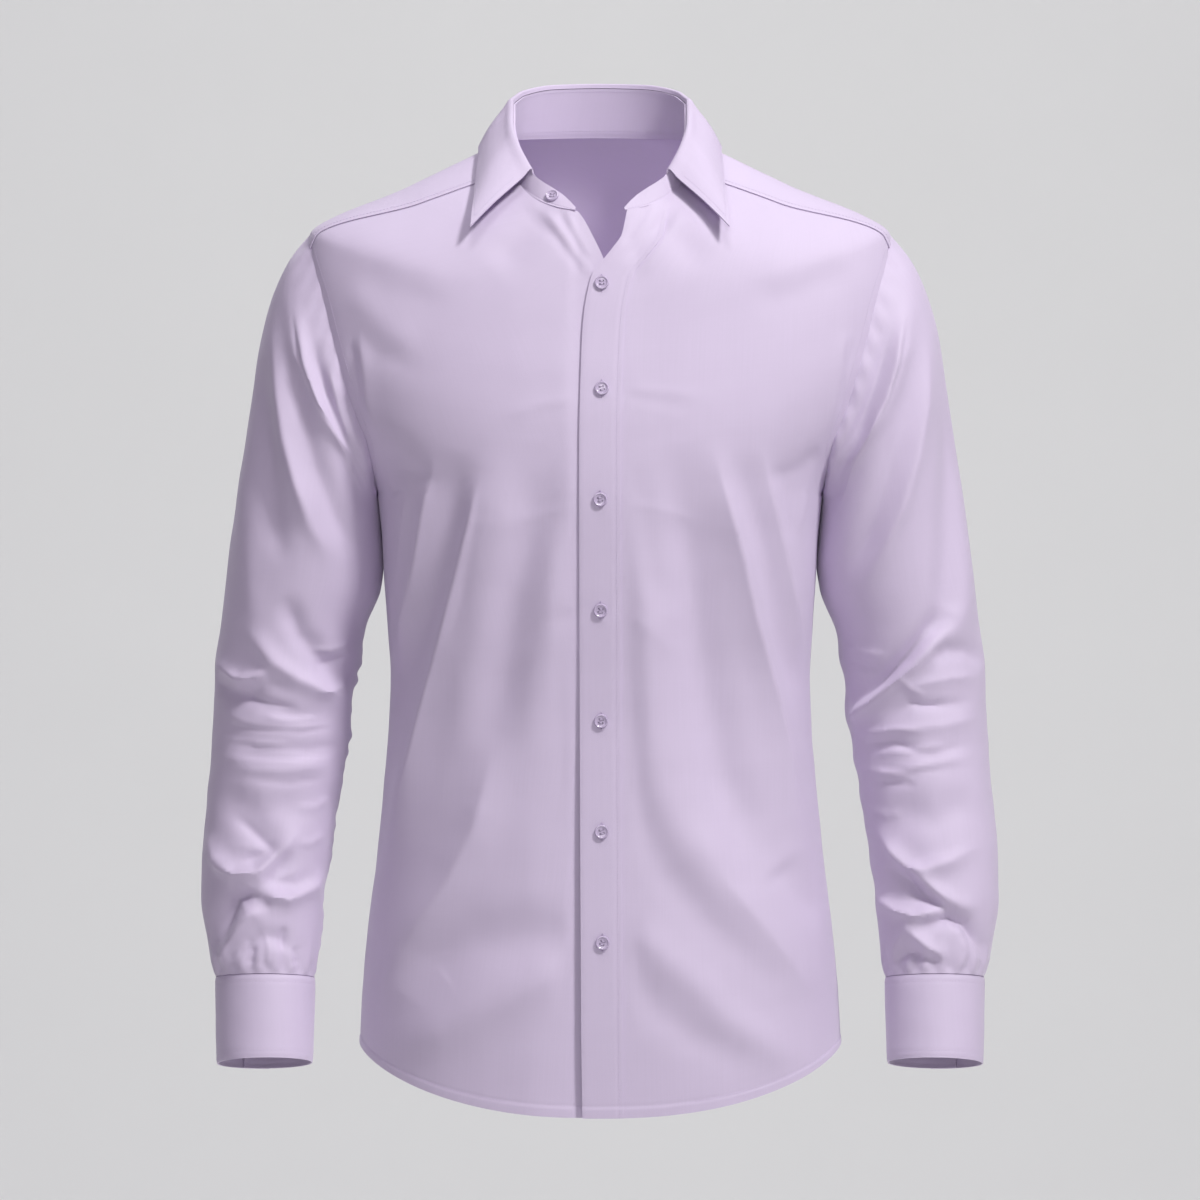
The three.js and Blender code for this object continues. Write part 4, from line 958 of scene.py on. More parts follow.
def build_placket(grid, normals):
    """The folded band down the wearer's left front, pressed flat with one row of stitches."""
    share = np.linspace(0, 1, grid.shape[1])
    edge_round = -0.35 * np.exp(-((share / 0.05) ** 2)) - 0.3 * np.exp(-(((1 - share) / 0.05) ** 2))
    row_at = 0.88
    stitch_row = -0.4 * np.exp(-(((share - row_at) / 0.045) ** 2))
    lifted = grid + normals * (0.9 + edge_round + stitch_row)[None, :, None]
    made = wall("front_band", lifted, FOLDED_STRIP)
    finish_piece(made, BAND_COTTON, "band_cloth", "placket")
    column = row_at * (grid.shape[1] - 1)
    low = int(column)
    line = lerp(lifted[:, low], lifted[:, low + 1], column - low)
    SEAMS.append(line[4:-1] + normals[4:-1, low] * 0.1)


def build_back():
    level = BACK_LEVELS
    rows = level[:, None]
    start = np.where(level >= UNDERARM, 90, armhole_degrees(level, False))
    left = spread(np.full(level.shape, 180.0), start, 90, 62)[:, ::-1]
    degrees = np.concatenate([left, 360 - left[:, -2::-1]], axis=1)
    top = np.exp(-(((level - BACK_SEAM) / 0.05) ** 2)) * -0.6
    grid = cloth_point(degrees, rows + 0 * degrees, hem_turn(level)[:, None] + top[:, None])
    made = wall("back_cloth", grid, CLOTH)
    finish_piece(made, SHIRT_COTTON, "shirt_cloth", "back")
    hem_line = level_at_hem_distance(HEM_WIDTH)
    SEAMS.append(cloth_point(np.linspace(92, 268, 300), np.full(300, hem_line), 0.15))


def yoke_reach(degrees):
    angle = np.where(degrees > 180, 360 - degrees, degrees)
    low = np.full(np.shape(angle), 1.5)
    found = crossing(low, low + 1.5, lambda level: past_armhole(angle, level))
    return np.where(angle >= BACK_CORNER, BACK_SEAM, found)


def yoke_row(share, cells_front, cells_back):
    level = share * FRONT_CORNER
    seam = 90 - yoke_seam_degrees(level)
    front = lerp(seam[:, None], BACK_CORNER, np.linspace(0, 1, cells_front + 1))
    back = spread(np.full(level.shape, 180.0), np.full(level.shape, BACK_CORNER), 90, cells_back)[:, ::-1]
    left = np.concatenate([front, back[:, 1:]], axis=1)
    return np.concatenate([left, 360 - left[:, -2::-1]], axis=1)


def build_yoke():
    share = np.linspace(0, 1, 46)
    degrees = yoke_row(share, 16, 56)
    reach = yoke_reach(degrees[-1])
    # The yoke's lower edge laps just over the back and the fronts.
    levels = share[:, None] * reach[None, :]
    edge = np.minimum(np.arange(degrees.shape[1]), degrees.shape[1] - 1 - np.arange(degrees.shape[1]))
    over = 0.2 + 0.6 * np.exp(-((edge / 2.5) ** 2))
    back_edge = 0.6 * smoothstep(share, 0.96, 0.99)[:, None] * smoothstep(edge, 16, 20)[None, :]
    grid = cloth_point(degrees, levels, over[None, :] + back_edge + 0 * degrees)
    made = wall("yoke_cloth", grid, CLOTH)
    finish_piece(made, SHIRT_COTTON, "shirt_cloth", "yoke")
    normals = grid_normals(grid, False)
    SEAMS.append(grid[:, 1] + normals[:, 1] * 0.15)
    SEAMS.append(grid[:, -2] + normals[:, -2] * 0.15)
    SEAMS.append(grid[-2, 16:-16] + normals[-2, 16:-16] * 0.15)


# The sleeve: its outer and inner sides seen from the front, its middle's depth, half its depth
# from front to back, and how far its rings tip up in front.
SLEEVE_COLUMNS = ["station", "out_x", "out_z", "in_x", "in_z", "y_middle", "half_depth", "tip"]
sleeve_station = curves(
    table(
        SLEEVE_COLUMNS,
        [0, 228, -77, 175, -282, 0, 58, 0],
        [1, 246, -100, 174.6, -286, 0, 61, 0],
        [2, 258, -127, 173.9, -290, 1, 63.5, 0],
        [3, 266.5, -157, 173.3, -295, 2, 65.5, 0],
        [4, 272.5, -196, 172.6, -303, 3, 66.5, 0],
        [5, 279.5, -242, 171.6, -316, 4, 66.5, 0],
        [6, 287, -290, 170.4, -334, 6, 65.5, 0],
        [7, 293.5, -338, 173, -356, 8, 64, 0],
        [8, 299, -384, 185.3, -388, 9.5, 61, 0],
        [9, 303.5, -418, 191, -420, 10, 58.5, 0],
        [10, 304.5, -446, 194, -447, 9.5, 57.5, 1],
        [11, 306, -480, 198, -480, 7, 56, 3],
        [12, 309, -522, 204.5, -520, 0, 54, 5],
        [13, 312.5, -566, 211.5, -563, -9, 51, 6.5],
        [14, 312.5, -598, 216, -595, -17, 48.5, 7.5],
        [15, 307.5, -629, 218.5, -627, -25, 45, 8],
        [16, 301.5, -659.5, 222, -659.5, -32, 40.5, 8],
    ),
    "station",
)
SLEEVE_END = 16
cuff_station = curves(
    table(
        SLEEVE_COLUMNS,
        [0, 299.5, -660, 223, -660, -32.2, 38.5, 8],
        [1, 298.3, -693, 223.6, -692.5, -41, 38, 9.4],
        [2, 297.3, -725.6, 224.3, -724.6, -49.8, 37.5, 10.8],
    ),
    "station",
)


def ring_point(ring, degrees, widen=0.0):
    """A point of a plain ring: 0 degrees is its front, 90 its outer side, 270 its inside."""
    sine = np.sin(np.radians(degrees))
    cosine = np.cos(np.radians(degrees))
    tip = np.radians(ring["tip"])
    half = (ring["out_x"] - ring["in_x"]) / 2 + widen
    depth = ring["half_depth"] + widen
    return np.stack(
        [
            (ring["out_x"] + ring["in_x"]) / 2 + half * sine,
            ring["y_middle"] - depth * np.cos(tip) * cosine,
            (ring["out_z"] + ring["in_z"]) / 2
            + (ring["out_z"] - ring["in_z"]) / 2 * sine
            + depth * np.sin(tip) * cosine,
        ],
        axis=-1,
    )


def armhole_line():
    """The armhole seam in two halves, each from its lowest point to its highest or back."""
    up = np.linspace(UNDERARM, FRONT_CORNER, 160)
    front = np.where(up >= UNDERARM, 90, armhole_degrees(up, True))
    over = np.linspace(90 - float(yoke_seam_degrees(FRONT_CORNER)), 90, 30)[1:]
    back_over = np.linspace(90, BACK_CORNER, 60)
    down = np.linspace(BACK_SEAM, UNDERARM, 160)[1:]
    back = np.where(down >= UNDERARM, 90, armhole_degrees(down, False))
    rising = np.concatenate([body_point(front, up), body_point(over, yoke_reach(over))])
    falling = np.concatenate([body_point(back_over, yoke_reach(back_over)), body_point(back, down)])
    return rising, falling


def along_line(line, share):
    length = np.concatenate([[0], np.cumsum(np.linalg.norm(np.diff(line, axis=0), axis=-1))])
    at = np.asarray(share) * length[-1]
    return np.stack([np.interp(at, length, line[:, axis]) for axis in range(3)], axis=-1)


ARMHOLE_RISING, ARMHOLE_FALLING = armhole_line()


def armhole_point(degrees):
    share = np.mod(degrees - 270, 360) / 360
    rising = along_line(ARMHOLE_RISING, np.clip(share * 2, 0, 1))
    falling = along_line(ARMHOLE_FALLING, np.clip(share * 2 - 1, 0, 1))
    return np.where((share <= 0.5)[..., None], rising, falling)


def plain_sleeve_point(degrees, station):
    point = ring_point(sleeve_station(station), degrees)
    ease = 1 - smoothstep(station, 0, 4)
    at_seam = armhole_point(degrees) - ring_point(sleeve_station(np.zeros(np.shape(station))), degrees)
    return point + at_seam * ease[..., None]


def sleeve_cloth(degrees, station, side):
    """The sleeve's cloth; side is -1 for the wearer's right sleeve, whose folds differ a little."""
    point = plain_sleeve_point(degrees, station)
    around = plain_sleeve_point(degrees + 2, station) - plain_sleeve_point(degrees - 2, station)
    lower = np.minimum(station + 0.05, SLEEVE_END)
    upper = np.maximum(station - 0.05, 0)
    normal = unit(np.cross(plain_sleeve_point(degrees, lower) - plain_sleeve_point(degrees, upper), around))
    facing = smoothstep(np.abs(normal[..., 1]), 0.1, 0.5)
    from_seam = smoothstep(station, 0, 1.5)
    to_cuff = 1 - smoothstep(station, SLEEVE_END - 0.6, SLEEVE_END)
    seen_x, seen_z = seen_from_front(point)
    broad, narrow = SLEEVE_FOLDS[side]
    front = fold_sum(broad, seen_x, seen_z)
    front_fine = fold_sum(narrow, seen_x, seen_z)
    back = fold_sum(SLEEVE_FOLDS_BACK, seen_x, seen_z - 4 * side)
    back_fine = fold_sum(SLEEVE_CREASES_BACK, seen_x, seen_z - 4 * side)
    at_front = normal[..., 1] < 0
    depth = FOLD_DEPTH * np.where(at_front, front, back) * facing * from_seam * to_cuff
    near_cuff = 1 - smoothstep(station, SLEEVE_END - 0.15, SLEEVE_END)
    fine = np.where(at_front, front_fine, back_fine) * facing * smoothstep(station, 0, 0.5) * near_cuff
    depth = depth + SLEEVE_CREASE_DEPTH * fine
    # Cloth eased into the armhole and gathered into the cuff
    ease = 0.5 * np.sin(np.radians(degrees * 26)) * np.exp(-(((station - 0.35) / 0.35) ** 2))
    gather = 0.9 * np.sin(np.radians(degrees * 17 + 40 * np.sin(np.radians(degrees * 3))))
    gather = gather * smoothstep(station, SLEEVE_END - 1.1, SLEEVE_END - 0.1) * near_cuff
    x, y, z = point[..., 0], point[..., 1], point[..., 2]
    elbow = 0.8 * ripple(x * 0.4, y, z, 34, 12 + side) * np.exp(-(((station - 11) / 2.2) ** 2))
    uneven = 0.6 * ripple(x, y, z, 70, 21 + side) * from_seam * near_cuff
    from_sleeve_seam = np.abs(np.mod(degrees - 262 + 180, 360) - 180)
    level = np.zeros(point.shape[:-1])
    puckers = ripple(level, level, z, 17, 51 + side) + 1.5 * ripple(level, level, z, 44, 57 + side)
    puckers = puckers * np.exp(-((from_sleeve_seam / 16) ** 2)) * smoothstep(station, 7, 9) * near_cuff
    puckers = puckers * (1.2 + 1.8 * np.exp(-(((station - 10) / 1.8) ** 2)))
    drawn_in = -1.3 * smoothstep(station, SLEEVE_END - 0.5, SLEEVE_END)
    return point + normal * (depth + ease + gather + elbow + uneven + puckers + drawn_in)[..., None]


def turned_over(grid, side):
    if side > 0:
        return grid
    return (grid * np.array([-1, 1, 1]))[:, ::-1]


SIDES = {"left": 1, "right": -1}


def build_sleeves():
    around = np.arange(0, 360, 2.25)
    upper = np.linspace(0, 4, 50)
    middle = np.linspace(4, 8, 48)[1:]
    stations = np.concatenate([upper, middle, np.linspace(8, SLEEVE_END, 130)[1:]])
    degrees, station = np.meshgrid(around, stations)
    for name, side in SIDES.items():
        grid = sleeve_cloth(degrees, station, side)
        # The seam allowance lies under the body's cloth.
        normals = grid_normals(grid, True)
        low = np.clip(-np.sin(np.radians(around)), 0, 1)[:, None] ** 4
        away = lerp(np.array([-1, 0, 0]), np.array([-0.5, 0, -1]), low)
        tuck = np.repeat(grid[:1], 3, axis=0) + np.array([4.0, 2.0, 0.6])[:, None, None] * away
        tuck = tuck - normals[:1] * np.array([1.1, 1.1, 0.9])[:, None, None] * (1 - low)
        inward = -normals[-1:] * np.array([0.9, 1.3, 1.4])[:, None, None]
        onward = np.array([0.2, 0.8, 5.0])[:, None, None] * np.array([0, 0.1, -1])
        cuffed = np.repeat(grid[-1:], 3, axis=0) + inward + onward
        whole = np.concatenate([tuck, grid, cuffed])
        made = wall(name + "_sleeve_cloth", turned_over(whole, side), CLOTH, True)
        finish_piece(made, SHIRT_COTTON, "shirt_cloth", "sleeve_" + name)
        build_sleeve_placket(name, side)


def build_sleeve_placket(name, side):
    """The strip that finishes the sleeve's slit: straight, with a pointed top."""
    stations = np.linspace(13.0, SLEEVE_END - 0.05, 60)
    across = np.linspace(-1, 1, 15)
    pointed = 0.45 * np.abs(across)[None, :] * (1 - smoothstep(stations, 13.0, 14.2))[:, None]
    rows = stations[:, None] + pointed
    degrees = SLEEVE_PLACKET_DEGREES + SLEEVE_PLACKET_HALF_DEGREES * across[None, :] + 0 * rows
    grid = sleeve_cloth(degrees, rows, side)
    normals = grid_normals(grid, False)
    edge = -0.4 * np.abs(across) ** 12
    grid = grid + normals * (1.1 + edge)[None, :, None]
    made = wall(name + "_sleeve_band", turned_over(grid, side), FOLDED_STRIP)
    finish_piece(made, BAND_COTTON, "shirt_cloth", "sleeve_placket_" + name)
    flip = np.array([side, 1, 1])
    for column in (1, 13):
        SEAMS.append((grid[2:, column] + normals[2:, column] * 0.12) * flip)
    SEAMS.append((grid[12, 1:14] + normals[12, 1:14] * 0.12) * flip)


def cuff_grid(stations, degrees, out=0.0):
    degrees, station = np.meshgrid(degrees, stations)
    lap = CUFF_LAP * smoothstep(degrees - CUFF_START_DEGREES, 250, 345)
    edge = np.minimum(station, 2 - station) / 2
    pillow = 0.5 * smoothstep(edge, 0, 0.06) - 0.3 * np.exp(-(((edge - 0.085) / 0.014) ** 2))
    grid = ring_point(cuff_station(station), degrees, lap + 0.2)
    normals = grid_normals(grid, False)
    bend = 0.35 * ripple(grid[..., 0], grid[..., 1], grid[..., 2], 40, 31)
    return grid + normals * (pillow + bend + out)[..., None]


def build_cuffs():
    stations = np.concatenate([[0, 0.012, 0.03], np.linspace(0.06, 1.94, 44), [1.97, 1.988, 2]])
    end = CUFF_START_DEGREES + 360 + CUFF_OVERLAP_DEGREES
    degrees = np.linspace(CUFF_START_DEGREES, end, 170)
    for name, side in SIDES.items():
        grid = cuff_grid(stations, degrees)
        made = wall(name + "_cuff_cloth", turned_over(grid, side), BAND_CLOTH)
        finish_piece(made, BAND_COTTON, "band_cloth", "cuff_" + name)
        flip = np.array([side, 1, 1])
        for station in (0.17, 1.83):
            line = cuff_grid(np.array([station - 0.01, station, station + 0.01]), degrees[4:-6], 0.12)[1]
            SEAMS.append(line * flip)


# The collar stand: its height and how far it leans back, by degrees from the front.
STAND = table(
    ["degrees", "height", "lean"],
    [14, 2.5, 40],
    [20, 9, 40],
    [27, 13, 38],
    [36, 14.5, 32],
    [48, 14.5, 22],
    [60, 20.5, 9],
    [75, 26.5, 3],
    [90, 26, 5],
    [105, 28.5, 5],
    [120, 32.5, 4],
    [150, 36.5, 5],
    [180, 37, 5],
)
stand_height = curve(STAND["degrees"], STAND["height"])
stand_lean = curve(STAND["degrees"], STAND["lean"])


def from_front(degrees):
    return np.where(degrees > 180, 360 - degrees, degrees)


def neck_outward(degrees):
    along = body_point(degrees + 1, 0.0) - body_point(degrees - 1, 0.0)
    return unit(np.stack([along[..., 1], -along[..., 0], 0 * along[..., 0]], axis=-1))


def stand_point(degrees, share):
    angle = from_front(degrees)
    lean = np.radians(stand_lean(angle))
    rise = stand_height(angle) * share
    raised = body_point(degrees, 0.0) + UP * (0.3 + rise * np.cos(lean))[..., None]
    return raised - neck_outward(degrees) * (rise * np.sin(lean))[..., None]


def build_stand():
    degrees = np.linspace(STAND_END_DEGREES, 360 - STAND_END_DEGREES, 200)
    share = np.linspace(1, -0.06, 26)
    degrees, share = np.meshgrid(degrees, share)
    grid = stand_point(degrees, share) + neck_outward(degrees) * (0.5 * (share < 0.02))[..., None]
    made = wall("collar_stand_cloth", grid, BAND_CLOTH)
    finish_piece(made, BAND_COTTON, "band_cloth", "collar_stand")
    line = np.linspace(STAND_END_DEGREES + 3, 357 - STAND_END_DEGREES, 240)
    SEAMS.append(stand_point(line, np.full(240, 0.09)) + neck_outward(line) * 0.15)
    SEAMS.append(stand_point(line, np.full(240, 0.09)) - neck_outward(line) * (BAND_CLOTH + 0.12))
    SEAMS.append(stand_point(line, np.full(240, 0.93)) - neck_outward(line) * (BAND_CLOTH + 0.12))


LEAF_EDGE = table(
    ["degrees", "edge_degrees", "edge_level", "lift"],
    [49, 33, 1.22, 16],
    [58, 42, 0.88, 12.5],
    [68, 53.5, 0.6, 9],
    [78, 70, 0.4, 5.5],
    [90, 87, 0.31, 4.5],
    [110, 113, 0.26, 4],
    [140, 143, 0.24, 4],
    [180, 180, 0.22, 4],
)
leaf_edge = curves(LEAF_EDGE, "degrees")
LEAF_PROFILE = table(
    ["place", "out", "up", "share"],
    [0, 0, 0.5, 0],
    [1, 0.6, 3.6, 0],
    [2, 2.4, 4.2, 0],
    [3, 4.2, 3.2, 0.02],
    [4, 5.2, 1.0, 0.1],
    [5, 5.4, 0.4, 0.3],
    [6, 4.8, 0.3, 0.5],
    [7, 2.8, 0.2, 0.75],
    [8, 0, 0, 1],
)
leaf_profile = curves(LEAF_PROFILE, "place")


def leaf_point(degrees, place):
    angle = from_front(degrees)
    edge = leaf_edge(angle)
    side = np.where(degrees > 180, -1.0, 1.0)
    on_body = body_point(edge["edge_degrees"], edge["edge_level"])
    on_body = on_body + body_normal(edge["edge_degrees"], edge["edge_level"]) * edge["lift"][..., None]
    on_body[..., 0] *= side
    row = leaf_profile(place)
    top = stand_point(degrees, np.ones(np.shape(degrees)))
    point = lerp(top, on_body, row["share"][..., None]) + neck_outward(degrees) * row["out"][..., None]
    return point + UP * row["up"][..., None]


def build_leaf():
    degrees = np.linspace(LEAF_END_DEGREES, 360 - LEAF_END_DEGREES, 260)
    place = np.concatenate([np.linspace(0, 4, 17), np.linspace(4, 8, 40)[1:]])
    degrees, place = np.meshgrid(degrees, place)
    grid = leaf_point(degrees, place)
    normals = grid_normals(grid, False)
    from_end = np.minimum(degrees - LEAF_END_DEGREES, 360 - LEAF_END_DEGREES - degrees)
    soft = 0.4 * ripple(grid[..., 0], grid[..., 1], grid[..., 2], 60, 41) * smoothstep(place, 4, 6)
    grid = grid + normals * (soft * smoothstep(from_end, 0, 10))[..., None]
    made = wall("collar_leaf_cloth", grid, BAND_CLOTH)
    finish_piece(made, SHIRT_COTTON, "shirt_cloth", "collar_leaf")
    rim = np.concatenate([grid[20:-4, 3], grid[-4, 3:-3], grid[-4:20:-1, -4]])
    rim_out = np.concatenate([normals[20:-4, 3], normals[-4, 3:-3], normals[-4:20:-1, -4]])
    SEAMS.append(rim + rim_out * 0.12)


# Buttons
def lathe(name, profile, sides=48):
    points = []
    faces = []
    turn = np.linspace(0, 2 * np.pi, sides, endpoint=False)
    for radius, height in profile:
        points.append(np.stack([radius * np.cos(turn), radius * np.sin(turn), np.full(sides, height)], -1))
    for i in range(len(profile) - 1):
        for j in range(sides):
            after = (j + 1) % sides
            faces.append((i * sides + j, i * sides + after, (i + 1) * sides + after, (i + 1) * sides + j))
    faces.append(tuple(range(sides - 1, -1, -1)))
    last = (len(profile) - 1) * sides
    faces.append(tuple(last + j for j in range(sides)))
    return new_mesh_object(name, np.concatenate(points), faces, 35)


BUTTON_PROFILE = [
    (0.30, 0.0), (0.88, 0.0), (0.96, 0.22), (1.0, 0.7), (1.0, 1.3), (0.97, 1.8), (0.91, 2.15),
    (0.84, 2.2), (0.78, 2.02), (0.72, 1.62), (0.64, 1.45), (0.40, 1.42), (0.10, 1.42),
]


def button_mesh():
    """One button with its four holes cut through, lying face up at the origin."""
    button = lathe("button_blank", [(r * BUTTON_RADIUS, h) for r, h in BUTTON_PROFILE])
    cutters = []
    for x in (-HOLE_OFFSET, HOLE_OFFSET):
        for y in (-HOLE_OFFSET, HOLE_OFFSET):
            hole = lathe("hole", [(HOLE_RADIUS, -1), (HOLE_RADIUS, 3)], 16)
            hole.data.transform(Matrix.Translation((x * MM, y * MM, 0)))
            cutters.append(hole)
    for hole in cutters:
        cut = button.modifiers.new("hole", "BOOLEAN")
        cut.object = hole
        cut.operation = "DIFFERENCE"
        cut.solver = "EXACT"
    ready = bpy.data.meshes.new_from_object(button.evaluated_get(bpy.context.evaluated_depsgraph_get()))
    for thing in [button, *cutters]:
        bpy.data.objects.remove(thing)
    ready.shade_smooth()
    ready.set_sharp_from_angle(angle=math.radians(35))
    return ready


def rod(start, end, radius, sides=8, bow=0.0):
    """A short round length of thread between two points, bowed up in the middle."""
    start = np.array(start, float)
    end = np.array(end, float)
    along = unit(end - start)
    side = unit(np.cross(along, UP))
    across = np.cross(side, along)
    points = []
    faces = []
    count = 7
    for i in range(count):
        t = i / (count - 1)
        middle = lerp(start, end, t) + UP * bow * math.sin(math.pi * t)
        thin = radius * (0.35 if i in (0, count - 1) else 1)
        for j in range(sides):
            turn = 2 * math.pi * j / sides
            points.append(middle + side * thin * math.cos(turn) + across * thin * math.sin(turn))
    for i in range(count - 1):
        for j in range(sides):
            after = (j + 1) % sides
            faces.append((i * sides + j, (i + 1) * sides + j, (i + 1) * sides + after, i * sides + after))
    faces.append(tuple(range(sides)))
    faces.append(tuple((count - 1) * sides + j for j in range(sides - 1, -1, -1)))
    return points, faces


def join_parts(name, parts):
    points = []
    faces = []
    for part_points, part_faces in parts:
        start = len(points)
        points.extend(part_points)
        faces.extend(tuple(start + i for i in face) for face in part_faces)
    return new_mesh_object(name, points, faces, 60)


def thread_mesh():
    """Thread that crosses a button's four holes in two parallel bars."""
    parts = []
    for y in (-HOLE_OFFSET, HOLE_OFFSET):
        for shift in (-0.17, 0.17):
            start = (-HOLE_OFFSET - 0.25, y + shift, 1.15)
            end = (HOLE_OFFSET + 0.25, y + shift, 1.15)
            parts.append(rod(start, end, 0.2, bow=0.75))
    made = join_parts("button_thread", parts)
    mesh = made.data
    bpy.data.objects.remove(made)
    return mesh


BUTTON_MESH = button_mesh()
THREAD_MESH = thread_mesh()


def seat(place, outward, upward, scale=1.0):
    """The matrix that lays a button on cloth at a place, facing outward."""
    outward = Vector(outward).normalized()
    side = Vector(upward).cross(outward).normalized()
    upward = outward.cross(side)
    turn = Matrix((side, upward, outward)).transposed().to_4x4()
    return Matrix.Translation(Vector(place) * MM) @ turn @ Matrix.Scale(scale, 4)


def add_button(node_name, place, outward, upward, scale=1.0, quarter=0.0):
    matrix = seat(place, outward, upward, scale) @ Matrix.Rotation(quarter, 4, "Z")
    disc = BUTTON_MESH.copy()
    disc.transform(matrix)
    finish_piece(place_object(node_name + "_resin", disc), BUTTON_RESIN, "button", node_name)
    tie = THREAD_MESH.copy()
    tie.transform(matrix)
    finish_piece(place_object(node_name + "_thread", tie), SEWING_THREAD, "button")


def level_at_front(z):
    def past(level):
        return z - body_point(np.array(0.0), np.array(level))[..., 2]

    return float(crossing(0.0, float(HEM), past))


BUTTONHOLES = []


def build_buttons():
    chance = np.random.default_rng(7)
    for i in range(FRONT_BUTTONS):
        z = FIRST_BUTTON_Z if i == 0 else SECOND_BUTTON_Z - (i - 1) * BUTTON_SPACING
        level = np.array(level_at_front(z))
        # The top button keeps the others' line, although the band leans away at the neck.
        band_at = np.array(level_at_front(min(z, SECOND_BUTTON_Z)))
        left = edge_degrees(band_at, left_edge_x)
        inner = edge_degrees(band_at, left_edge_x, PLACKET_WIDTH)
        middle = (left + inner) / 2
        outward = body_normal(middle, level)
        place = cloth_point(middle, level, 1.15)
        add_button("button_%d" % (i + 1), place, outward, (0, 0, 1), 1.0, chance.uniform(-0.35, 0.35))
        BUTTONHOLES.append((cloth_point(middle, level, 1.0), outward, (0, 0, 1)))
    at = np.array(COLLAR_BUTTON_DEGREES)
    place = stand_point(at, np.array(0.5))
    down = stand_point(at, np.array(0.0)) - stand_point(at, np.array(1.0))
    along = stand_point(at + 1, np.array(0.5)) - stand_point(at - 1, np.array(0.5))
    outward = unit(np.cross(down, along))
    add_button("button_collar", place + outward * 0.2, outward, (0, 0, 1), 0.95)
    lap = CUFF_START_DEGREES + 360 + CUFF_OVERLAP_DEGREES / 2
    patch = cuff_grid(np.array([0.9, 1.0, 1.1]), np.array([lap - 4, lap, lap + 4]))
    outward = unit(np.cross(patch[2, 1] - patch[0, 1], patch[1, 2] - patch[1, 0]))
    for name, side in SIDES.items():
        flip = np.array([side, 1, 1])
        add_button("button_cuff_" + name, (patch[1, 1] + outward * 0.2) * flip, outward * flip, (0, 0, 1))
        BUTTONHOLES.append(((patch[1, 1] + outward * 0.1) * flip, outward * flip, (1, 0, 0)))


def buttonhole_lines():
    """A long narrow loop round each slit."""
    lines = []
    turn = np.linspace(0, 2 * np.pi, 61)
    for place, outward, upward in BUTTONHOLES:
        matrix = seat(place, outward, upward)
        along = BUTTONHOLE_HALF_LENGTH * np.cos(turn) * MM
        across = BUTTONHOLE_HALF_WIDTH * np.sin(turn) * MM
        lines.append(np.array([matrix @ Vector((a, b, 0)) for a, b in zip(across, along)]) / MM)
    return lines


# Stitches along every sewn line
def stitch_tree(name, pitch, length, thickness, crosswise):
    """Geometry Nodes: small stitches set along curves, lying along the line or across it."""
    tree = bpy.data.node_groups.new(name, "GeometryNodeTree")
    tree.interface.new_socket("Geometry", in_out="INPUT", socket_type="NodeSocketGeometry")
    for label, value in (("Pitch", pitch), ("Length", length), ("Thickness", thickness)):
        socket = tree.interface.new_socket(label, in_out="INPUT", socket_type="NodeSocketFloat")
        socket.default_value = value * MM
    tree.interface.new_socket("Geometry", in_out="OUTPUT", socket_type="NodeSocketGeometry")
    given = tree.nodes.new("NodeGroupInput")
    result = tree.nodes.new("NodeGroupOutput")
    inputs = {"Curve": given.outputs[0], "Length": given.outputs["Pitch"]}
    spaced = node(tree, "GeometryNodeResampleCurve", inputs, mode="LENGTH")
    tangent = node(tree, "GeometryNodeInputTangent")
    facing = node(tree, "FunctionNodeAlignRotationToVector", {"Vector": tangent.outputs[0]}, axis="X")
    stitch = node(tree, "GeometryNodeMeshIcoSphere", {"Radius": 0.5, "Subdivisions": 1})
    size = (given.outputs["Length"], given.outputs["Thickness"])
    if crosswise:
        size = size[::-1]
    inputs = {"X": size[0], "Y": size[1], "Z": given.outputs["Thickness"]}
    scale = node(tree, "ShaderNodeCombineXYZ", inputs)
    placed = node(
        tree,
        "GeometryNodeInstanceOnPoints",
        {
            "Points": spaced.outputs[0],
            "Instance": stitch.outputs[0],
            "Rotation": facing.outputs[0],
            "Scale": scale.outputs[0],
        },
    )
    real = node(tree, "GeometryNodeRealizeInstances", {0: placed.outputs[0]})
    inputs = {"Geometry": real.outputs[0], "Material": SEWING_THREAD}
    coloured = node(tree, "GeometryNodeSetMaterial", inputs)
    tree.links.new(coloured.outputs[0], result.inputs[0])
    return tree


def sewn(name, lines, tree):
    """Curves through the sewn lines, turned into one mesh of stitches."""
    data = bpy.data.curves.new(name, "CURVE")
    data.dimensions = "3D"
    for line in lines:
        spline = data.splines.new("POLY")
        spline.points.add(len(line) - 1)
        flat = np.concatenate([np.asarray(line) * MM, np.ones((len(line), 1))], axis=1)
        spline.points.foreach_set("co", flat.astype(np.float32).reshape(-1))
    guide = place_object(name + "_guide", data)
    modifier = guide.modifiers.new("stitches", "NODES")
    modifier.node_group = tree
    mesh = bpy.data.meshes.new_from_object(guide.evaluated_get(bpy.context.evaluated_depsgraph_get()))
    guide.modifiers.remove(modifier)
    bpy.data.objects.remove(guide)
    mesh.shade_smooth()
    made = place_object(name, mesh)
    if not mesh.materials:
        mesh.materials.append(SEWING_THREAD)
    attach(made, "root")
    return made


def armhole_stitching():
    """Topstitching on the body beside each armhole seam."""
    up = np.linspace(UNDERARM - 0.04, FRONT_CORNER, 220)
    front = armhole_degrees(up, True)
    down = np.linspace(BACK_SEAM, UNDERARM - 0.04, 220)
    back = armhole_degrees(down, False)
    front_line = front - degrees_for(STITCH_INSET, front, up)
    back_line = back + degrees_for(STITCH_INSET, back, down)
    for side in (1, -1):
        SEAMS.append(cloth_point(side * front_line, up, 0.1))
        SEAMS.append(cloth_point(side * back_line, down, 0.1))


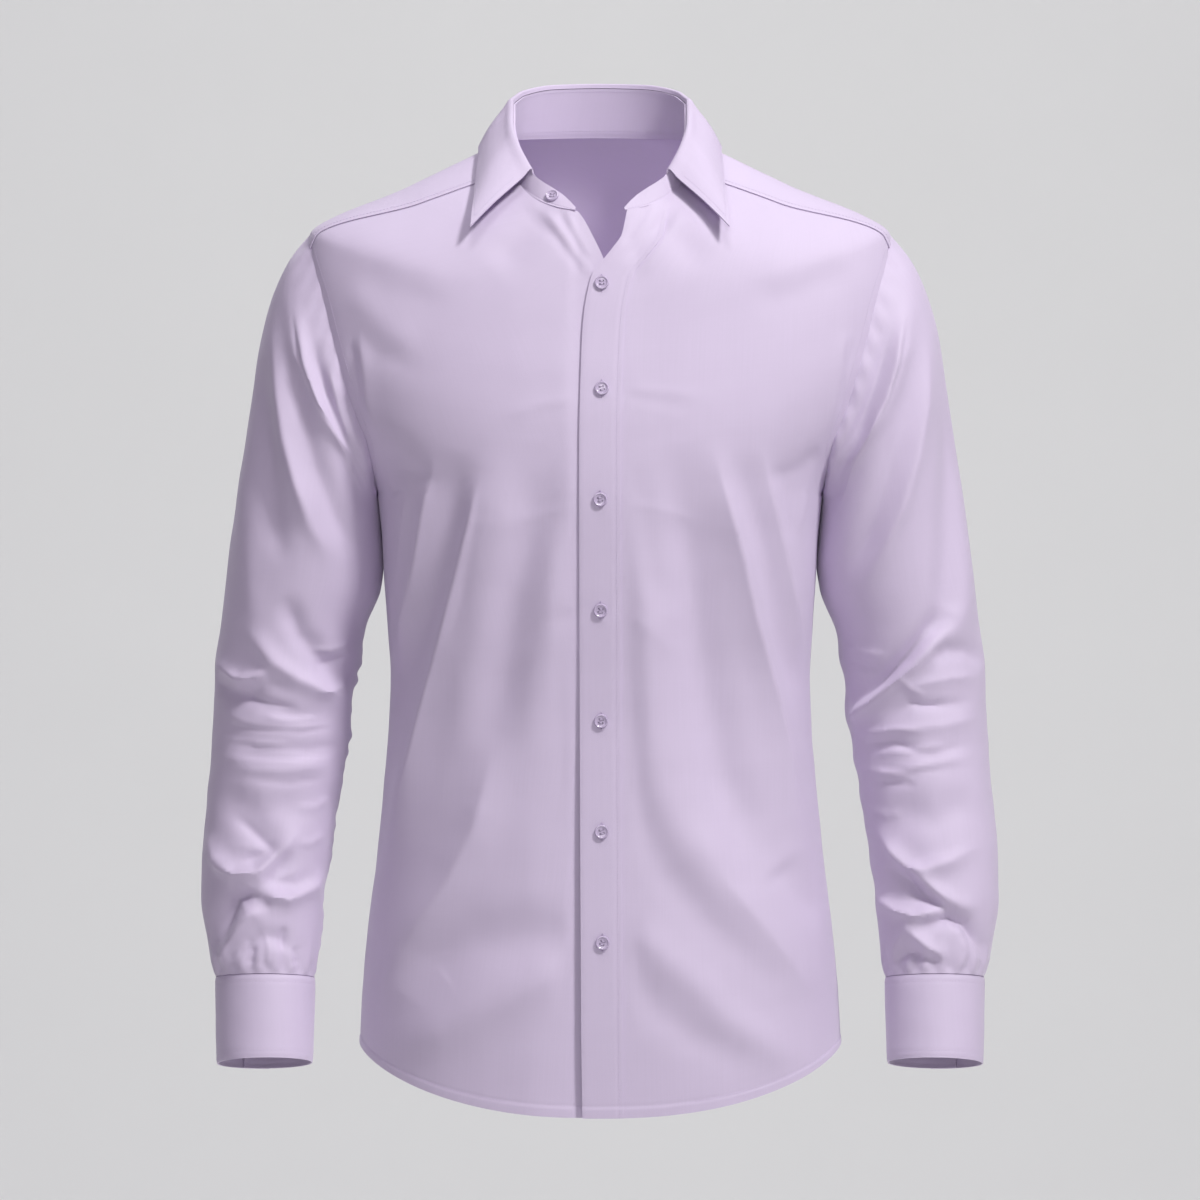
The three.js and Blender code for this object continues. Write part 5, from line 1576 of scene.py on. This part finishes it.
def build_camera():
    data = bpy.data.cameras.new("camera")
    camera = place_object("camera", data)
    data.sensor_width = SENSOR_WIDTH
    data.lens = SENSOR_WIDTH * EYE_DISTANCE / PICTURE_WIDTH
    data.clip_end = 60
    camera.location = (0, -EYE_DISTANCE * MM, PICTURE_MIDDLE_Z * MM)
    camera.rotation_euler = (math.radians(90), 0, 0)
    bpy.context.scene.camera = camera


def build_studio():
    """A pale floor that sweeps up into a plain wall, and soft lights from the upper right."""
    profile = [(FLOOR_START, FLOOR_Z), (SWEEP_START, FLOOR_Z)]
    steps = 18
    for i in range(1, steps + 1):
        turn = math.radians(90 * i / steps)
        y = SWEEP_START + SWEEP_RADIUS * math.sin(turn)
        z = FLOOR_Z + SWEEP_RADIUS * (1 - math.cos(turn))
        profile.append((y, z))
    profile.append((SWEEP_START + SWEEP_RADIUS, WALL_TOP))
    points = []
    faces = []
    for y, z in profile:
        points += [(-SWEEP_HALF_WIDTH, y, z), (SWEEP_HALF_WIDTH, y, z)]
    for i in range(len(profile) - 1):
        faces.append((2 * i, 2 * i + 1, 2 * i + 3, 2 * i + 2))
    sweep = new_mesh_object("studio_sweep", np.array(points) / MM, faces, 60)
    paint, tree, shader = new_material("studio_paint")
    drifting_tint(tree, shader, 3.0, 2.0, (0.76, 0.76, 0.75, 1), (0.78, 0.78, 0.77, 1))
    shader.inputs["Roughness"].default_value = 0.9
    shader.inputs["Specular IOR Level"].default_value = 0.1
    sweep.data.materials.append(paint)
    lights = [
        # name, place, aimed at, size, power, colour
        ("key", (2.3, -2.3, 3.3), (0, 0, -0.35), 0.8, 194, (1, 1, 0.96)),
        ("front", (-0.3, -4.7, 1.1), (0, 0, -0.4), 1.6, 39, (1, 0.99, 0.98)),
        ("top", (0, -1.0, 3.2), (0, 0, -0.2), 1.0, 25, (1, 0.99, 0.98)),
        ("through_cloth", (0, 0, -0.32), (0, 0.11, -0.15), 0.08, 0.2, (0.93, 0.84, 1)),
        ("wall", (0, 2.8, 5.0), (0, 7.4, -0.2), 3.5, 246, (0.975, 0.99, 1)),
    ]
    for name, place, aim, size, power, colour in lights:
        data = bpy.data.lights.new(name, "AREA")
        data.shape = "SQUARE"
        data.size = size
        data.energy = power
        data.color = colour
        lamp = place_object(name, data)
        lamp.visible_camera = False
        lamp.location = place
        lamp.rotation_euler = (Vector(aim) - Vector(place)).to_track_quat("-Z", "Y").to_euler()
    world = bpy.data.worlds.new("studio_air")
    world.use_nodes = True
    world.node_tree.nodes["Background"].inputs[0].default_value = (0.86, 0.76, 1.0, 1)
    world.node_tree.nodes["Background"].inputs[1].default_value = 0.15
    bpy.context.scene.world = world
    bpy.context.scene.view_settings.view_transform = "Standard"


build_camera()
build_studio()
build_fronts()
build_back()
build_yoke()
build_sleeves()
build_cuffs()
build_stand()
build_leaf()
build_buttons()
armhole_stitching()
LOCK_STITCH = stitch_tree("lock_stitch", STITCH_PITCH, STITCH_LENGTH, STITCH_THICKNESS, False)
HOLE_STITCH = stitch_tree(
    "buttonhole_stitch", HOLE_STITCH_PITCH, HOLE_STITCH_LENGTH, HOLE_STITCH_THICKNESS, True
)
sewn("seam_stitches", SEAMS, LOCK_STITCH)
sewn("buttonhole_stitches", buttonhole_lines(), HOLE_STITCH)
